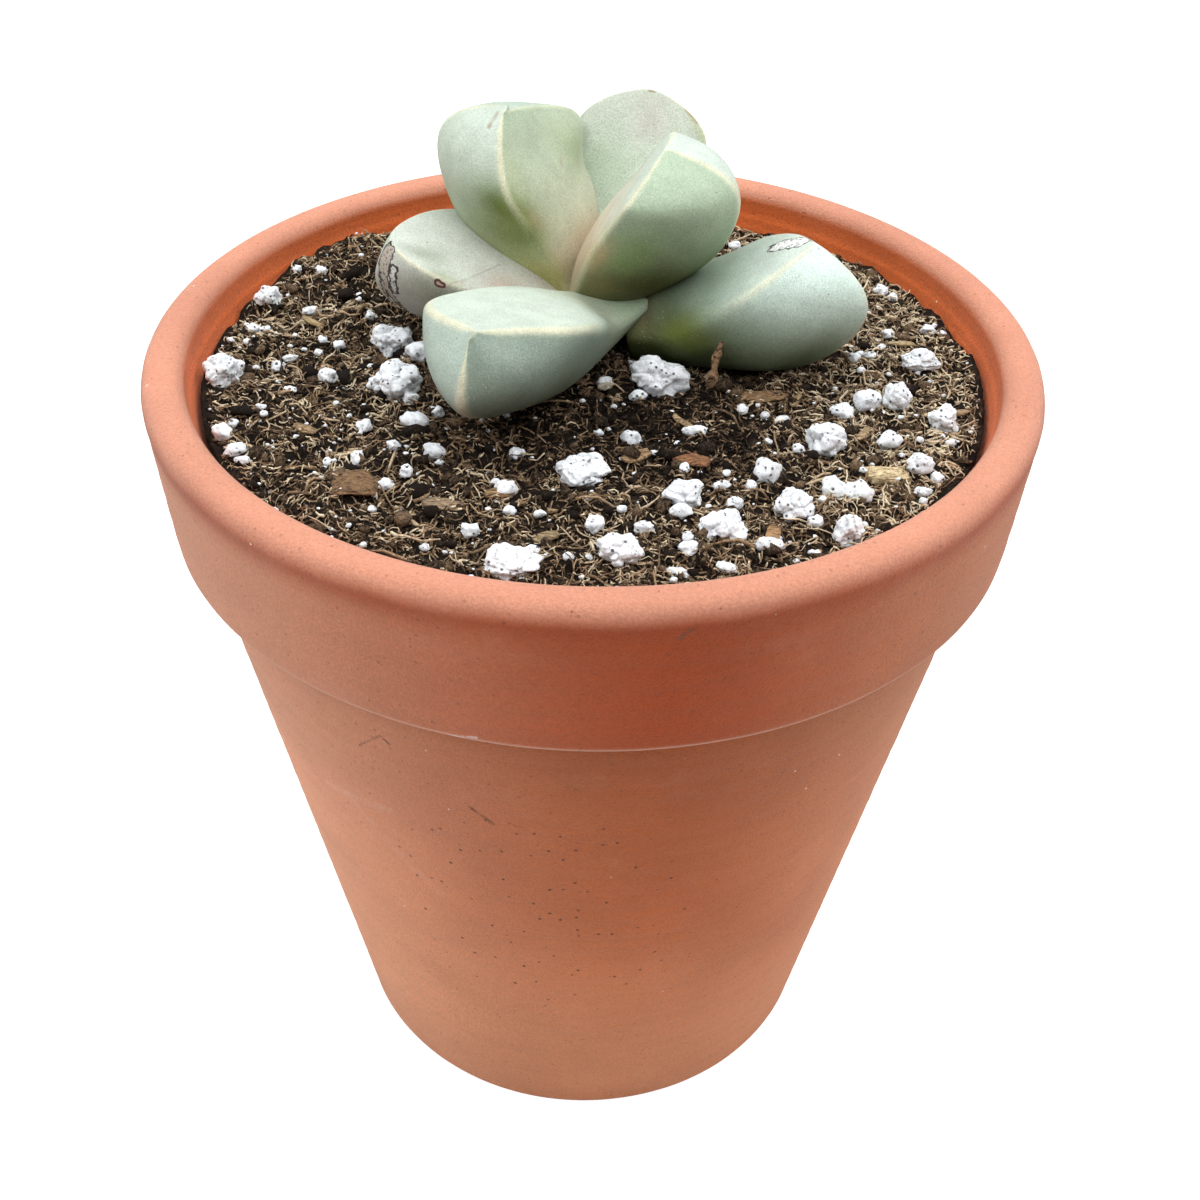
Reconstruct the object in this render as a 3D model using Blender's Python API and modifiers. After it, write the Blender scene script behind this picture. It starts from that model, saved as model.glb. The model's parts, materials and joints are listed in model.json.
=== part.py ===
"""Karoo rose growing in a clay pot.

The model is in metres with +Z up, and its origin is the middle of the pot's foot.
The working dimensions below are in millimetres and degrees.
"""
from dataclasses import dataclass
import math
import random

import bmesh
import bpy
import numpy as np
from mathutils import Vector, noise

MM = 0.001
GAP = 0.3            # clearance between pieces that touch
SEED = 11
SHARP_ANGLE = 40     # edges that bend more than this stay crisp

# Clay pot
POT_HEIGHT = 82.0
RIM_RADIUS = 41.0
LIP_THICKNESS = 3.8
LIP_ROUND = 1.4
BAND_HEIGHT = 15.3
BAND_FOOT_RADIUS = 40.0
BAND_FOOT_ROUND = 0.7
NECK_RADIUS = 37.7   # body just under the band
FOOT_RADIUS = 26.3
FOOT_ROUND = 1.0
WALL = 4.0
FLOOR = 5.0
FLOOR_ROUND = 2.0
DRAIN_RADIUS = 4.2
DRAIN_EDGE = 0.4     # chamfer at both ends of the drain hole
POT_SIDES = 56

# Soil
SOIL_LEVEL = 78.2
SOIL_WALL_GAP = 0.42
SOIL_RINGS = 15
SOIL_SIDES = 52
SOIL_WALL_LIFT = 0.5
SOIL_LUMP = 0.8
SOIL_LUMP_SPAN = 5.0
MOUND_PLACE = (-24.0, 20.0)
MOUND_HEIGHT = 1.6
MOUND_SPREAD = 8.0
CRUMB_COUNT = 90
CRUMB_RADII = (0.7, 1.3)

# Stem with its root crown
STEM_PLACE = (0.5, 8.5)
STEM_TOP = 83.0
STEM_RADIUS = 2.8
ROOT_TIP = 58.0
STEM_SIDES = 16

# Leaf loft
RINGS = 17
ARC_STEPS = 5
FOOT_RINGS = 3
FOOT_SHARE = 0.5     # size of the leaf's foot beside its first full section
FOOT_START = 0.1     # share of the way from the stem to that section
BASE_BULGE = 0.20
BASE_CROWN = 0.16
SHARP_FROM = 0.75    # share of the length where the creases are fully formed


@dataclass
class Leaf:
    """One thick boat-shaped leaf: a flat upper face, two margins and a keel below."""
    name: str
    base: tuple          # middle of the upper face where the free blade starts
    foot: float          # height at which the leaf joins the stem
    heading: float       # from +X, seen from above
    rise: float          # above the level at the base
    roll: float          # about the leaf's own length
    length: float
    width: float
    depth: float
    base_width: float    # share of the width at the base
    base_depth: float    # share of the depth at the base
    widest: float        # share of the length at the widest place
    tip_fullness: float  # power of the margins' round end
    chin: float          # share of the length where the keel starts to rise
    chin_fullness: float
    keel_reach: float    # length of the keel's straight run beside the margins'
    keel_lean: float     # sideways lean of the keel, as a share of the width
    curl: float          # rise of the tip as a share of the length
    sweep: float         # sideways bend of the tip as a share of the length
    twist: float
    bulge: float         # swelling of the side faces, as a share of their chord
    crown: float         # swelling of the upper face near the tip
    foot_bend: float = 0.0  # reach of the foot's bend, as a share of the foot's length
    foot_turn: float = 0.0  # how far the foot's sections face along the foot, 0 to 1


LEAVES = (
    Leaf("leaf_middle_front", base=(-2.5, 5.0, 80.8), foot=80.6, heading=-113, rise=40, roll=-5,
         length=21.9, width=16.2, depth=10.3, base_width=0.70, base_depth=0.42, widest=0.67,
         tip_fullness=0.8, chin=0.53, chin_fullness=0.49, keel_reach=0.96, keel_lean=-0.04,
         curl=-0.30, sweep=0.02, twist=12, bulge=0.12, crown=0.0),
    Leaf("leaf_inner_right", base=(-0.8, 9.4, 82.2), foot=82.0, heading=-48, rise=75, roll=27,
         length=17.7, width=14.5, depth=10.7, base_width=0.68, base_depth=0.43, widest=0.82,
         tip_fullness=1.38, chin=0.65, chin_fullness=0.64, keel_reach=0.97, keel_lean=0.04,
         curl=-0.23, sweep=-0.08, twist=4, bulge=0.16, crown=0.03),
    Leaf("leaf_inner_left", base=(-1.1, 12.8, 83.7), foot=82.0, heading=210, rise=77, roll=-45,
         length=17.0, width=16.2, depth=12.3, base_width=0.90, base_depth=0.64, widest=0.60,
         tip_fullness=1.05, chin=0.45, chin_fullness=0.77, keel_reach=0.96, keel_lean=-0.09,
         curl=-0.20, sweep=0.20, twist=-7, bulge=0.15, crown=0.03),
    Leaf("leaf_middle_back", base=(0.7, 9.6, 80.8), foot=80.6, heading=69, rise=60, roll=3,
         length=20.1, width=14.1, depth=9.3, base_width=0.72, base_depth=0.50, widest=0.73,
         tip_fullness=1.46, chin=0.66, chin_fullness=0.89, keel_reach=1.0, keel_lean=0.01,
         curl=-0.01, sweep=-0.02, twist=1, bulge=0.11, crown=0.03),
    Leaf("leaf_outer_right", base=(7.8, 5.4, 80.5), foot=79.4, heading=-28, rise=58, roll=13,
         length=15.8, width=13.6, depth=12.8, base_width=0.61, base_depth=0.40, widest=0.53,
         tip_fullness=1.08, chin=0.40, chin_fullness=0.63, keel_reach=0.95, keel_lean=0.04,
         curl=-0.31, sweep=0.0, twist=-4, bulge=0.09, crown=0.02, foot_bend=0.2,
         foot_turn=0.7),
    Leaf("leaf_outer_left", base=(-1.7, 10.2, 81.7), foot=79.4, heading=199, rise=33, roll=-21,
         length=19.2, width=12.5, depth=9.5, base_width=0.85, base_depth=0.48, widest=0.46,
         tip_fullness=1.66, chin=0.51, chin_fullness=0.83, keel_reach=0.98, keel_lean=0.06,
         curl=-0.20, sweep=0.05, twist=2, bulge=0.14, crown=0.03),
)

# Large perlite grains: place on the soil, then length, width and height
GRAINS = (
    ((6.0, -2.6), (5.6, 4.6, 4.4)),
    ((-18.3, -4.4), (5.2, 4.6, 3.8)),
    ((-19.4, 3.9), (4.3, 3.6, 3.0)),
    ((-34.0, -3.4), (3.9, 3.8, 3.4)),
    ((-0.5, -17.9), (5.2, 3.6, 2.8)),
    ((10.7, -25.8), (4.0, 4.0, 3.2)),
    ((7.7, -21.2), (3.5, 2.8, 2.6)),
    ((16.9, -22.3), (3.2, 3.4, 3.0)),
    ((20.4, -12.4), (3.8, 3.6, 3.2)),
    ((27.6, -5.6), (2.8, 3.2, 3.0)),
    ((31.3, -8.4), (3.0, 2.8, 2.6)),
    ((30.7, 1.3), (4.0, 2.6, 2.4)),
    ((-5.7, -31.2), (5.0, 3.2, 2.4)),
    ((2.6, -29.6), (3.8, 3.2, 2.6)),
    ((20.9, -25.4), (2.6, 2.8, 2.8)),
    ((-32.5, 10.4), (2.6, 2.6, 2.4)),
)
GRAIN_SINK = 0.30    # share of a grain's height below the soil
GRAIN_ROUGHNESS = 0.14
GRAIN_TURN = 20

# Litter on the soil
CHIP_PLACE = (25.4, -17.2)
CHIP_SIZE = (4.6, 1.4, 1.2)
CHIP_TURN = -20
BARK_PLACE = (-19.6, -20.9)
BARK_SIZE = (4.8, 3.2, 1.2)
BARK_TURN = 15
SCALE_PLACE = (10.6, -3.4)
SCALE_HEIGHT = 5.2
SCALE_WIDTH = 1.6
SCALE_THICKNESS = 0.8
SCALE_ROOT = 1.0     # depth of the dry leaf scale in the soil

COLOURS = {          # base colour, roughness
    "clay": ((0.55, 0.20, 0.10), 0.85),
    "peat": ((0.06, 0.035, 0.02), 0.95),
    "stem": ((0.30, 0.22, 0.13), 0.80),
    "leaf": ((0.38, 0.48, 0.38), 0.50),
    "perlite": ((0.80, 0.80, 0.80), 0.90),
    "wood": ((0.45, 0.30, 0.16), 0.80),
    "dry_leaf": ((0.30, 0.18, 0.09), 0.80),
}


def clear_scene():
    """Empty the scene that the script is run in."""
    for item in list(bpy.data.objects):
        bpy.data.objects.remove(item, do_unlink=True)


def new_collection(name):
    """Collection linked to the scene."""
    group = bpy.data.collections.new(name)
    bpy.context.scene.collection.children.link(group)
    return group


def material(name):
    """Principled material with the named colour and roughness."""
    found = bpy.data.materials.get(name)
    if found:
        return found
    colour, roughness = COLOURS[name]
    made = bpy.data.materials.new(name)
    made.use_nodes = True
    shader = made.node_tree.nodes["Principled BSDF"]
    shader.inputs["Base Color"].default_value = (*colour, 1.0)
    shader.inputs["Roughness"].default_value = roughness
    shader.inputs["Metallic"].default_value = 0.0
    return made


def add_object(name, mesh, group, finish):
    """Object of a mesh, in a collection, with one material and smooth shading."""
    made = bpy.data.objects.new(name, mesh)
    group.objects.link(made)
    mesh.materials.clear()
    mesh.materials.append(material(finish))
    mesh.shade_smooth()
    return made


def object_from_bmesh(name, bm, group, finish):
    """Object of a bmesh, which is freed."""
    mesh = bpy.data.meshes.new(name)
    bm.to_mesh(mesh)
    bm.free()
    return add_object(name, mesh, group, finish)


def applied(item):
    """Apply an object's modifiers to a mesh of its own."""
    depsgraph = bpy.context.evaluated_depsgraph_get()
    mesh = bpy.data.meshes.new_from_object(item.evaluated_get(depsgraph))
    item.modifiers.clear()
    item.data = mesh
    return item


def arc(centre, radius, start, end, steps):
    """Points of a round from one angle to another, both ends included."""
    points = []
    for step in range(steps + 1):
        angle = math.radians(start + (end - start) * step / steps)
        points.append((centre[0] + radius * math.cos(angle), centre[1] + radius * math.sin(angle)))
    return points


def turned(name, profile, sides, group, finish, closed):
    """Profile of (radius, height) in millimetres turned about Z by a Screw modifier."""
    mesh = bpy.data.meshes.new(name)
    points = [(radius * MM, 0.0, height * MM) for radius, height in profile]
    edges = [(index, index + 1) for index in range(len(points) - 1)]
    if closed:
        edges.append((len(points) - 1, 0))
    mesh.from_pydata(points, edges, [])
    made = add_object(name, mesh, group, finish)
    screw = made.modifiers.new("turn", "SCREW")
    screw.axis = "Z"
    screw.angle = math.tau
    screw.steps = sides
    screw.render_steps = sides
    screw.use_merge_vertices = True
    screw.merge_threshold = 0.00001
    screw.use_smooth_shade = True
    applied(made)
    made.data.set_sharp_from_angle(angle=math.radians(SHARP_ANGLE))
    return made


def outer_radius(height):
    """Radius of the pot body's outside, under the band."""
    return FOOT_RADIUS + (NECK_RADIUS - FOOT_RADIUS) * height / (POT_HEIGHT - BAND_HEIGHT)


def inner_radius(height):
    """Radius of the pot's inside: parallel to the body, then out to the lip."""
    neck = POT_HEIGHT - BAND_HEIGHT
    if height <= neck:
        return outer_radius(height) - WALL
    share = (height - neck) / BAND_HEIGHT
    return NECK_RADIUS - WALL + share * (RIM_RADIUS - LIP_THICKNESS - NECK_RADIUS + WALL)


def pot_profile():
    """Closed outline of the pot's wall, down the outside and up the inside."""
    lip_inside = RIM_RADIUS - LIP_THICKNESS
    neck = POT_HEIGHT - BAND_HEIGHT
    points = arc((RIM_RADIUS - LIP_ROUND, POT_HEIGHT - LIP_ROUND), LIP_ROUND, 90, 0, 4)
    band_foot = (BAND_FOOT_RADIUS - BAND_FOOT_ROUND, neck + BAND_FOOT_ROUND)
    points += arc(band_foot, BAND_FOOT_ROUND, 0, -90, 2)
    points.append((NECK_RADIUS, neck))
    points.append((outer_radius(neck / 2), neck / 2))
    points += arc((FOOT_RADIUS - FOOT_ROUND, FOOT_ROUND), FOOT_ROUND, 0, -90, 3)
    points.append((DRAIN_RADIUS + DRAIN_EDGE, 0.0))
    points.append((DRAIN_RADIUS, DRAIN_EDGE))
    points.append((DRAIN_RADIUS, FLOOR - DRAIN_EDGE))
    points.append((DRAIN_RADIUS + DRAIN_EDGE, FLOOR))
    corner = (inner_radius(FLOOR + FLOOR_ROUND) - FLOOR_ROUND, FLOOR + FLOOR_ROUND)
    points += arc(corner, FLOOR_ROUND, -90, 0, 3)
    points.append((inner_radius(neck / 2), neck / 2))
    points.append((inner_radius(neck), neck))
    points += arc((lip_inside + LIP_ROUND, POT_HEIGHT - LIP_ROUND), LIP_ROUND, 180, 90, 4)
    return points


def make_pot(group):
    """Turned clay pot with its rim band and drain hole."""
    return turned("pot", pot_profile(), POT_SIDES, group, "clay", closed=True)


def soil_level(x, y):
    """Height of the soil at a place, in millimetres."""
    reach = abs(x) / inner_radius(SOIL_LEVEL)
    mound = math.hypot(x - MOUND_PLACE[0], y - MOUND_PLACE[1]) / MOUND_SPREAD
    place = Vector((x, y, 0.0)) / SOIL_LUMP_SPAN
    lumps = noise.noise(place) + 0.6 * noise.noise(place * 2.3)
    return (SOIL_LEVEL + SOIL_WALL_LIFT * reach ** 4 + MOUND_HEIGHT * math.exp(-mound ** 2)
            + SOIL_LUMP * lumps)


def make_soil(group):
    """Turned body of soil that fills the pot, with lumps raised on its top."""
    top = inner_radius(SOIL_LEVEL) - SOIL_WALL_GAP
    neck = POT_HEIGHT - BAND_HEIGHT
    low = FLOOR + GAP
    profile = [(top * ring / SOIL_RINGS, SOIL_LEVEL) for ring in range(SOIL_RINGS + 1)]
    profile.append((inner_radius(neck) - SOIL_WALL_GAP, neck))
    corner_height = low + FLOOR_ROUND
    profile.append((inner_radius(corner_height) - SOIL_WALL_GAP, corner_height))
    profile.append((inner_radius(corner_height) - FLOOR_ROUND, low))
    profile.append((0.0, low))
    soil = turned("soil", profile, SOIL_SIDES, group, "peat", closed=False)
    for vertex in soil.data.vertices:
        x, y, z = vertex.co / MM
        if z > SOIL_LEVEL - 0.01:
            level = soil_level(x, y)
            slip = (inner_radius(level) - inner_radius(SOIL_LEVEL)) / top
            vertex.co = Vector((x * (1 + slip), y * (1 + slip), level)) * MM
    return soil


def make_stem(group):
    """Short stem with its root crown, which carries the leaves."""
    height = STEM_TOP - ROOT_TIP
    outline = ((0.0, 1.0), (0.5, 0.985), (0.86, 0.94), (1.0, 0.87), (0.92, 0.76), (0.72, 0.55),
               (0.45, 0.28), (0.2, 0.06), (0.0, 0.0))
    profile = [(STEM_RADIUS * share, ROOT_TIP + height * level) for share, level in outline]
    stem = turned("stem", profile, STEM_SIDES, group, "stem", closed=False)
    for vertex in stem.data.vertices:
        vertex.co += Vector((STEM_PLACE[0], STEM_PLACE[1], 0.0)) * MM
    return stem


def eased(values, power):
    """Quarter sine from 0 to 1, raised to a power."""
    return np.sin(np.clip(values, 0.0, 1.0) * math.pi / 2) ** power


def crease_lines(leaf, share):
    """Left margin, right margin and keel at shares of the length, in the leaf's own axes."""
    growth = leaf.base_width + (1 - leaf.base_width) * eased(share / leaf.widest, 1.2)
    tail = np.clip((share - leaf.widest) / (1 - leaf.widest), 0.0, 1.0)
    taper = np.maximum(1 - tail ** 2, 0.0) ** (1 / leaf.tip_fullness)
    half = leaf.width / 2 * np.where(share <= leaf.widest, growth, taper)
    run = leaf.length * share
    drop = leaf.base_depth + (1 - leaf.base_depth) * eased(share / leaf.chin, 1.0)
    turn = np.clip((share - leaf.chin) / (1 - leaf.chin), 0.0, 1.0) * math.pi / 2
    straight = leaf.length * leaf.chin * leaf.keel_reach
    keel_run = np.where(share <= leaf.chin, run * leaf.keel_reach,
                        straight + (leaf.length - straight) * np.sin(turn))
    keel_drop = np.where(share <= leaf.chin, drop, np.abs(np.cos(turn)) ** leaf.chin_fullness)
    lines = []
    for along, across, up in ((run, half, 0 * run), (run, -half, 0 * run),
                              (keel_run, leaf.keel_lean * leaf.width * share,
                               -leaf.depth * keel_drop)):
        bend = (along / leaf.length) ** 2 * leaf.length
        lines.append(twisted(leaf, share, along, across + leaf.sweep * bend, up + leaf.curl * bend))
    return lines


def twisted(leaf, share, along, across, up):
    """Points turned about the leaf's length, more towards its tip."""
    angle = math.radians(leaf.twist) * share
    return np.stack([along, across * np.cos(angle) - up * np.sin(angle),
                     across * np.sin(angle) + up * np.cos(angle)], axis=-1)


def face_arc(start, end, middle, swell, steps):
    """Swollen line of points across one face, for every section at once."""
    chord = end - start
    size = np.linalg.norm(chord, axis=1, keepdims=True)
    outward = (start + end) / 2 - middle
    unit = chord / np.maximum(size, 1e-9)
    outward = outward - (outward * unit).sum(axis=1, keepdims=True) * unit
    outward = outward / np.maximum(np.linalg.norm(outward, axis=1, keepdims=True), 1e-9)
    across = np.arange(steps)[:, None] / steps
    flat = start[:, None] * (1 - across) + end[:, None] * across
    lift = (4 * across * (1 - across))[None] * (swell[:, None] * size)[:, None]
    return flat + lift * outward[:, None]


def leaf_sections(leaf, share, steps):
    """Rings of points round the leaf, in its own axes, at shares of the length."""
    left, right, keel = crease_lines(leaf, share)
    middle = (left + right + keel) / 3
    formed = np.clip(share / SHARP_FROM, 0.0, 1.0) ** 1.5
    bulge = BASE_BULGE + (leaf.bulge - BASE_BULGE) * formed
    crown = BASE_CROWN + (leaf.crown - BASE_CROWN) * formed
    return np.concatenate([face_arc(left, right, middle, crown, steps),
                           face_arc(right, keel, middle, bulge, steps),
                           face_arc(keel, left, middle, bulge, steps)], axis=1)


def leaf_axes(leaf):
    """Directions along the leaf, across it and up from its upper face."""
    heading, rise, roll = np.radians([leaf.heading, leaf.rise, leaf.roll])
    along = np.array([math.cos(heading) * math.cos(rise), math.sin(heading) * math.cos(rise),
                      math.sin(rise)])
    level = np.array([-math.sin(heading), math.cos(heading), 0.0])
    upper = np.cross(along, level)
    across = level * math.cos(roll) + upper * math.sin(roll)
    up = upper * math.cos(roll) - level * math.sin(roll)
    return np.stack([along, across, up])


def foot_rings(leaf, first):
    """Rings that lead from the stem in a bend to the first section of the blade."""
    along = leaf_axes(leaf)[0]
    middle = first.mean(axis=0)
    start = np.array([STEM_PLACE[0], STEM_PLACE[1], leaf.foot])
    corner = (start + middle) / 2 - along * leaf.foot_bend * np.linalg.norm(middle - start)
    rings = []
    for ring in range(FOOT_RINGS):
        way = FOOT_START + (1 - FOOT_START) * ring / FOOT_RINGS
        place = start * (1 - way) ** 2 + corner * 2 * way * (1 - way) + middle * way ** 2
        course = (corner - start) * (1 - way) + (middle - corner) * way
        course = course / np.linalg.norm(course)
        facing = course * leaf.foot_turn + along * (1 - leaf.foot_turn)
        turn = Vector(along).rotation_difference(Vector(facing)).to_matrix()
        size = FOOT_SHARE + (1 - FOOT_SHARE) * math.sin(math.pi / 2 * way)
        rings.append(place + (first - middle) @ np.array(turn).T * size)
    return rings


def leaf_rings(leaf, rings, steps):
    """All rings of a leaf from its foot on the stem to its tip, in millimetres."""
    share = 1 - (1 - np.linspace(0.0, 1.0, rings)) ** 1.4
    blade = np.array(leaf.base) + leaf_sections(leaf, share, steps) @ leaf_axes(leaf)
    return np.concatenate([np.stack(foot_rings(leaf, blade[0])), blade])


def loft(rings):
    """Closed bmesh through rings of points in millimetres."""
    bm = bmesh.new()
    rows = [[bm.verts.new(Vector(point) * MM) for point in ring] for ring in rings]
    for lower, upper in zip(rows, rows[1:]):
        for index in range(len(lower)):
            following = (index + 1) % len(lower)
            bm.faces.new((lower[index], lower[following], upper[following], upper[index]))
    bm.faces.new(tuple(reversed(rows[0])))
    bmesh.ops.remove_doubles(bm, verts=bm.verts, dist=0.02 * MM)
    bmesh.ops.recalc_face_normals(bm, faces=bm.faces)
    return bm


def grown_copy(item, group):
    """Copy of an object, larger all round by the clearance, used to cut its neighbours."""
    bm = bmesh.new()
    bm.from_mesh(item.data)
    bm.normal_update()
    moves = [vertex.normal * (GAP * MM * min(vertex.calc_shell_factor(), 1.8))
             for vertex in bm.verts]
    for vertex, move in zip(bm.verts, moves):
        vertex.co += move
    made = object_from_bmesh("room_" + item.name, bm, group, "peat")
    made.display_type = "WIRE"
    made.hide_render = True
    return made


def boolean(item, group, operation):
    """Cut an object with a collection, or join the collection to it, and apply that."""
    change = item.modifiers.new(operation.lower(), "BOOLEAN")
    change.operation = operation
    change.operand_type = "COLLECTION"
    change.collection = group
    change.solver = "EXACT"
    applied(item)
    keep_largest(item)


def empty(group):
    """Remove a collection with its objects."""
    for item in list(group.objects):
        bpy.data.objects.remove(item, do_unlink=True)
    bpy.data.collections.remove(group)


def keep_largest(item):
    """Drop loose scraps and hairline faces that a cut leaves behind."""
    bm = bmesh.new()
    bm.from_mesh(item.data)
    bmesh.ops.dissolve_degenerate(bm, dist=0.01 * MM, edges=bm.edges)
    bmesh.ops.triangulate(bm, faces=[face for face in bm.faces if len(face.verts) > 4])
    remaining = set(bm.verts)
    islands = []
    while remaining:
        queue = [remaining.pop()]
        island = set(queue)
        while queue:
            for edge in queue.pop().link_edges:
                for vertex in edge.verts:
                    if vertex in remaining:
                        remaining.discard(vertex)
                        island.add(vertex)
                        queue.append(vertex)
        islands.append(island)
    largest = max(islands, key=len)
    bmesh.ops.delete(bm, geom=[vertex for vertex in bm.verts if vertex not in largest])
    bm.to_mesh(item.data)
    bm.free()


def make_leaves(group, stem):
    """Six leaves in three crossed pairs, each cut clear of the stem and earlier leaves."""
    leaves = []
    for leaf in LEAVES:
        made = object_from_bmesh(leaf.name, loft(leaf_rings(leaf, RINGS, ARC_STEPS)), group, "leaf")
        room = new_collection("room")
        grown_copy(stem, room)
        for other in leaves:
            grown_copy(other, room)
        boolean(made, room, "DIFFERENCE")
        empty(room)
        made.data.set_sharp_from_angle(angle=math.radians(SHARP_ANGLE))
        leaves.append(made)
    return leaves


def rough_grain(name, place, size, turn, group, finish, draw, fineness=2):
    """Uneven rounded grain that sits a little way into the soil."""
    bm = bmesh.new()
    bmesh.ops.create_icosphere(bm, subdivisions=fineness, radius=0.5)
    offset = Vector((draw.uniform(0, 50), draw.uniform(0, 50), draw.uniform(0, 50)))
    angle = math.radians(turn)
    height = soil_level(*place) + size[2] * (0.5 - GRAIN_SINK)
    for vertex in bm.verts:
        swell = 1 + 2 * GRAIN_ROUGHNESS * noise.noise(vertex.co * 2.4 + offset)
        x, y, z = vertex.co * swell
        x, y = x * size[0], y * size[1]
        vertex.co = Vector((place[0] + x * math.cos(angle) - y * math.sin(angle),
                            place[1] + x * math.sin(angle) + y * math.cos(angle),
                            height + z * size[2])) * MM
    return object_from_bmesh(name, bm, group, finish)


def make_grains(group, draw):
    """Large loose perlite grains."""
    grains = []
    for number, (place, size) in enumerate(GRAINS, start=1):
        turn = draw.uniform(-GRAIN_TURN, GRAIN_TURN)
        name = f"perlite_{number:02d}"
        grains.append(rough_grain(name, place, size, turn, group, "perlite", draw))
    return grains


def make_chip(group, draw):
    """Pale splinter of wood that lies on the soil."""
    return rough_grain("wood_chip", CHIP_PLACE, CHIP_SIZE, CHIP_TURN, group, "wood", draw)


def make_bark(group, draw):
    """Dark flake of bark that lies on the soil."""
    return rough_grain("bark_flake", BARK_PLACE, BARK_SIZE, BARK_TURN, group, "dry_leaf", draw)


def make_scale(group):
    """Dry curled leaf scale that stands in the soil beside the plant."""
    bm = bmesh.new()
    bmesh.ops.create_grid(bm, x_segments=2, y_segments=6, size=0.5)
    ground = soil_level(*SCALE_PLACE) - SCALE_ROOT
    for vertex in bm.verts:
        across, up, _ = vertex.co
        level = up + 0.5
        width = SCALE_WIDTH * (1 - 0.6 * level ** 2)
        x = SCALE_PLACE[0] + across * width + 1.2 * level ** 2
        y = SCALE_PLACE[1] + 0.5 * math.sin(3 * level) + 1.4 * (across * level) ** 2
        vertex.co = Vector((x, y, ground + (SCALE_HEIGHT + SCALE_ROOT) * level)) * MM
    made = object_from_bmesh("dry_scale", bm, group, "dry_leaf")
    shell = made.modifiers.new("thickness", "SOLIDIFY")
    shell.thickness = SCALE_THICKNESS * MM
    shell.offset = 0.0
    return applied(made)


def near(place, reach, leaves):
    """Whether a leaf stands over a place, within a reach in millimetres."""
    for leaf in leaves:
        for vertex in leaf.data.vertices:
            x, y, _ = vertex.co / MM
            if math.hypot(x - place[0], y - place[1]) < reach:
                return True
    return False


def make_crumbs(group, draw, leaves):
    """Small grains at even spacing with a seeded jitter, for the soil's surface."""
    reach = inner_radius(SOIL_LEVEL) - 2.4
    golden = math.pi * (3 - math.sqrt(5))
    for number in range(CRUMB_COUNT):
        radius = reach * math.sqrt((number + 0.5) / CRUMB_COUNT)
        angle = number * golden + draw.uniform(-0.3, 0.3)
        place = (radius * math.cos(angle), radius * math.sin(angle))
        size = 2 * draw.uniform(*CRUMB_RADII)
        taken = any(math.dist(place, grain[0]) < grain[1][0] / 2 + size / 2 + 0.8
                    for grain in GRAINS)
        if taken or near(place, size + 0.5, leaves):
            continue
        rough_grain(f"crumb_{number:03d}", place, (size, size, size * 0.8), 0, group, "peat", draw,
                    fineness=1)


def fit_soil(soil, leaves, stem, loose, draw):
    """Join the small crumbs to the soil, then cut room in it for what stands in it."""
    crumbs = new_collection("crumbs")
    make_crumbs(crumbs, draw, leaves)
    boolean(soil, crumbs, "UNION")
    empty(crumbs)
    room = new_collection("room")
    for item in leaves + [stem] + loose:
        grown_copy(item, room)
    boolean(soil, room, "DIFFERENCE")
    empty(room)
    soil.data.set_sharp_from_angle(angle=math.radians(SHARP_ANGLE))


def clear_of_leaves(items, leaves):
    """Cut the loose pieces that a leaf rests against."""
    for item in items:
        room = new_collection("room")
        for leaf in leaves:
            grown_copy(leaf, room)
        boolean(item, room, "DIFFERENCE")
        empty(room)


def main():
    """Build the potted plant."""
    clear_scene()
    draw = random.Random(SEED)
    group = new_collection("potted_karoo_rose")
    make_pot(group)
    soil = make_soil(group)
    stem = make_stem(group)
    leaves = make_leaves(group, stem)
    loose = make_grains(group, draw)
    loose += [make_chip(group, draw), make_bark(group, draw), make_scale(group)]
    clear_of_leaves(loose, leaves)
    fit_soil(soil, leaves, stem, loose, draw)


main()
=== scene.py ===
"""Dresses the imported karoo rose: clay pot, peat, perlite, litter, leaves and a pale studio.

The file is laid out as an add-on with one operator for each group of pieces. Tables hold
millimetres and degrees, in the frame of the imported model: +Z up, the viewer on the -Y side.
"""

import json
import math
import random

import bmesh
import bpy
import numpy as np
from bpy.props import FloatProperty, FloatVectorProperty, IntProperty, PointerProperty
from mathutils import Matrix, Vector, noise
from mathutils.bvhtree import BVHTree

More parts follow.
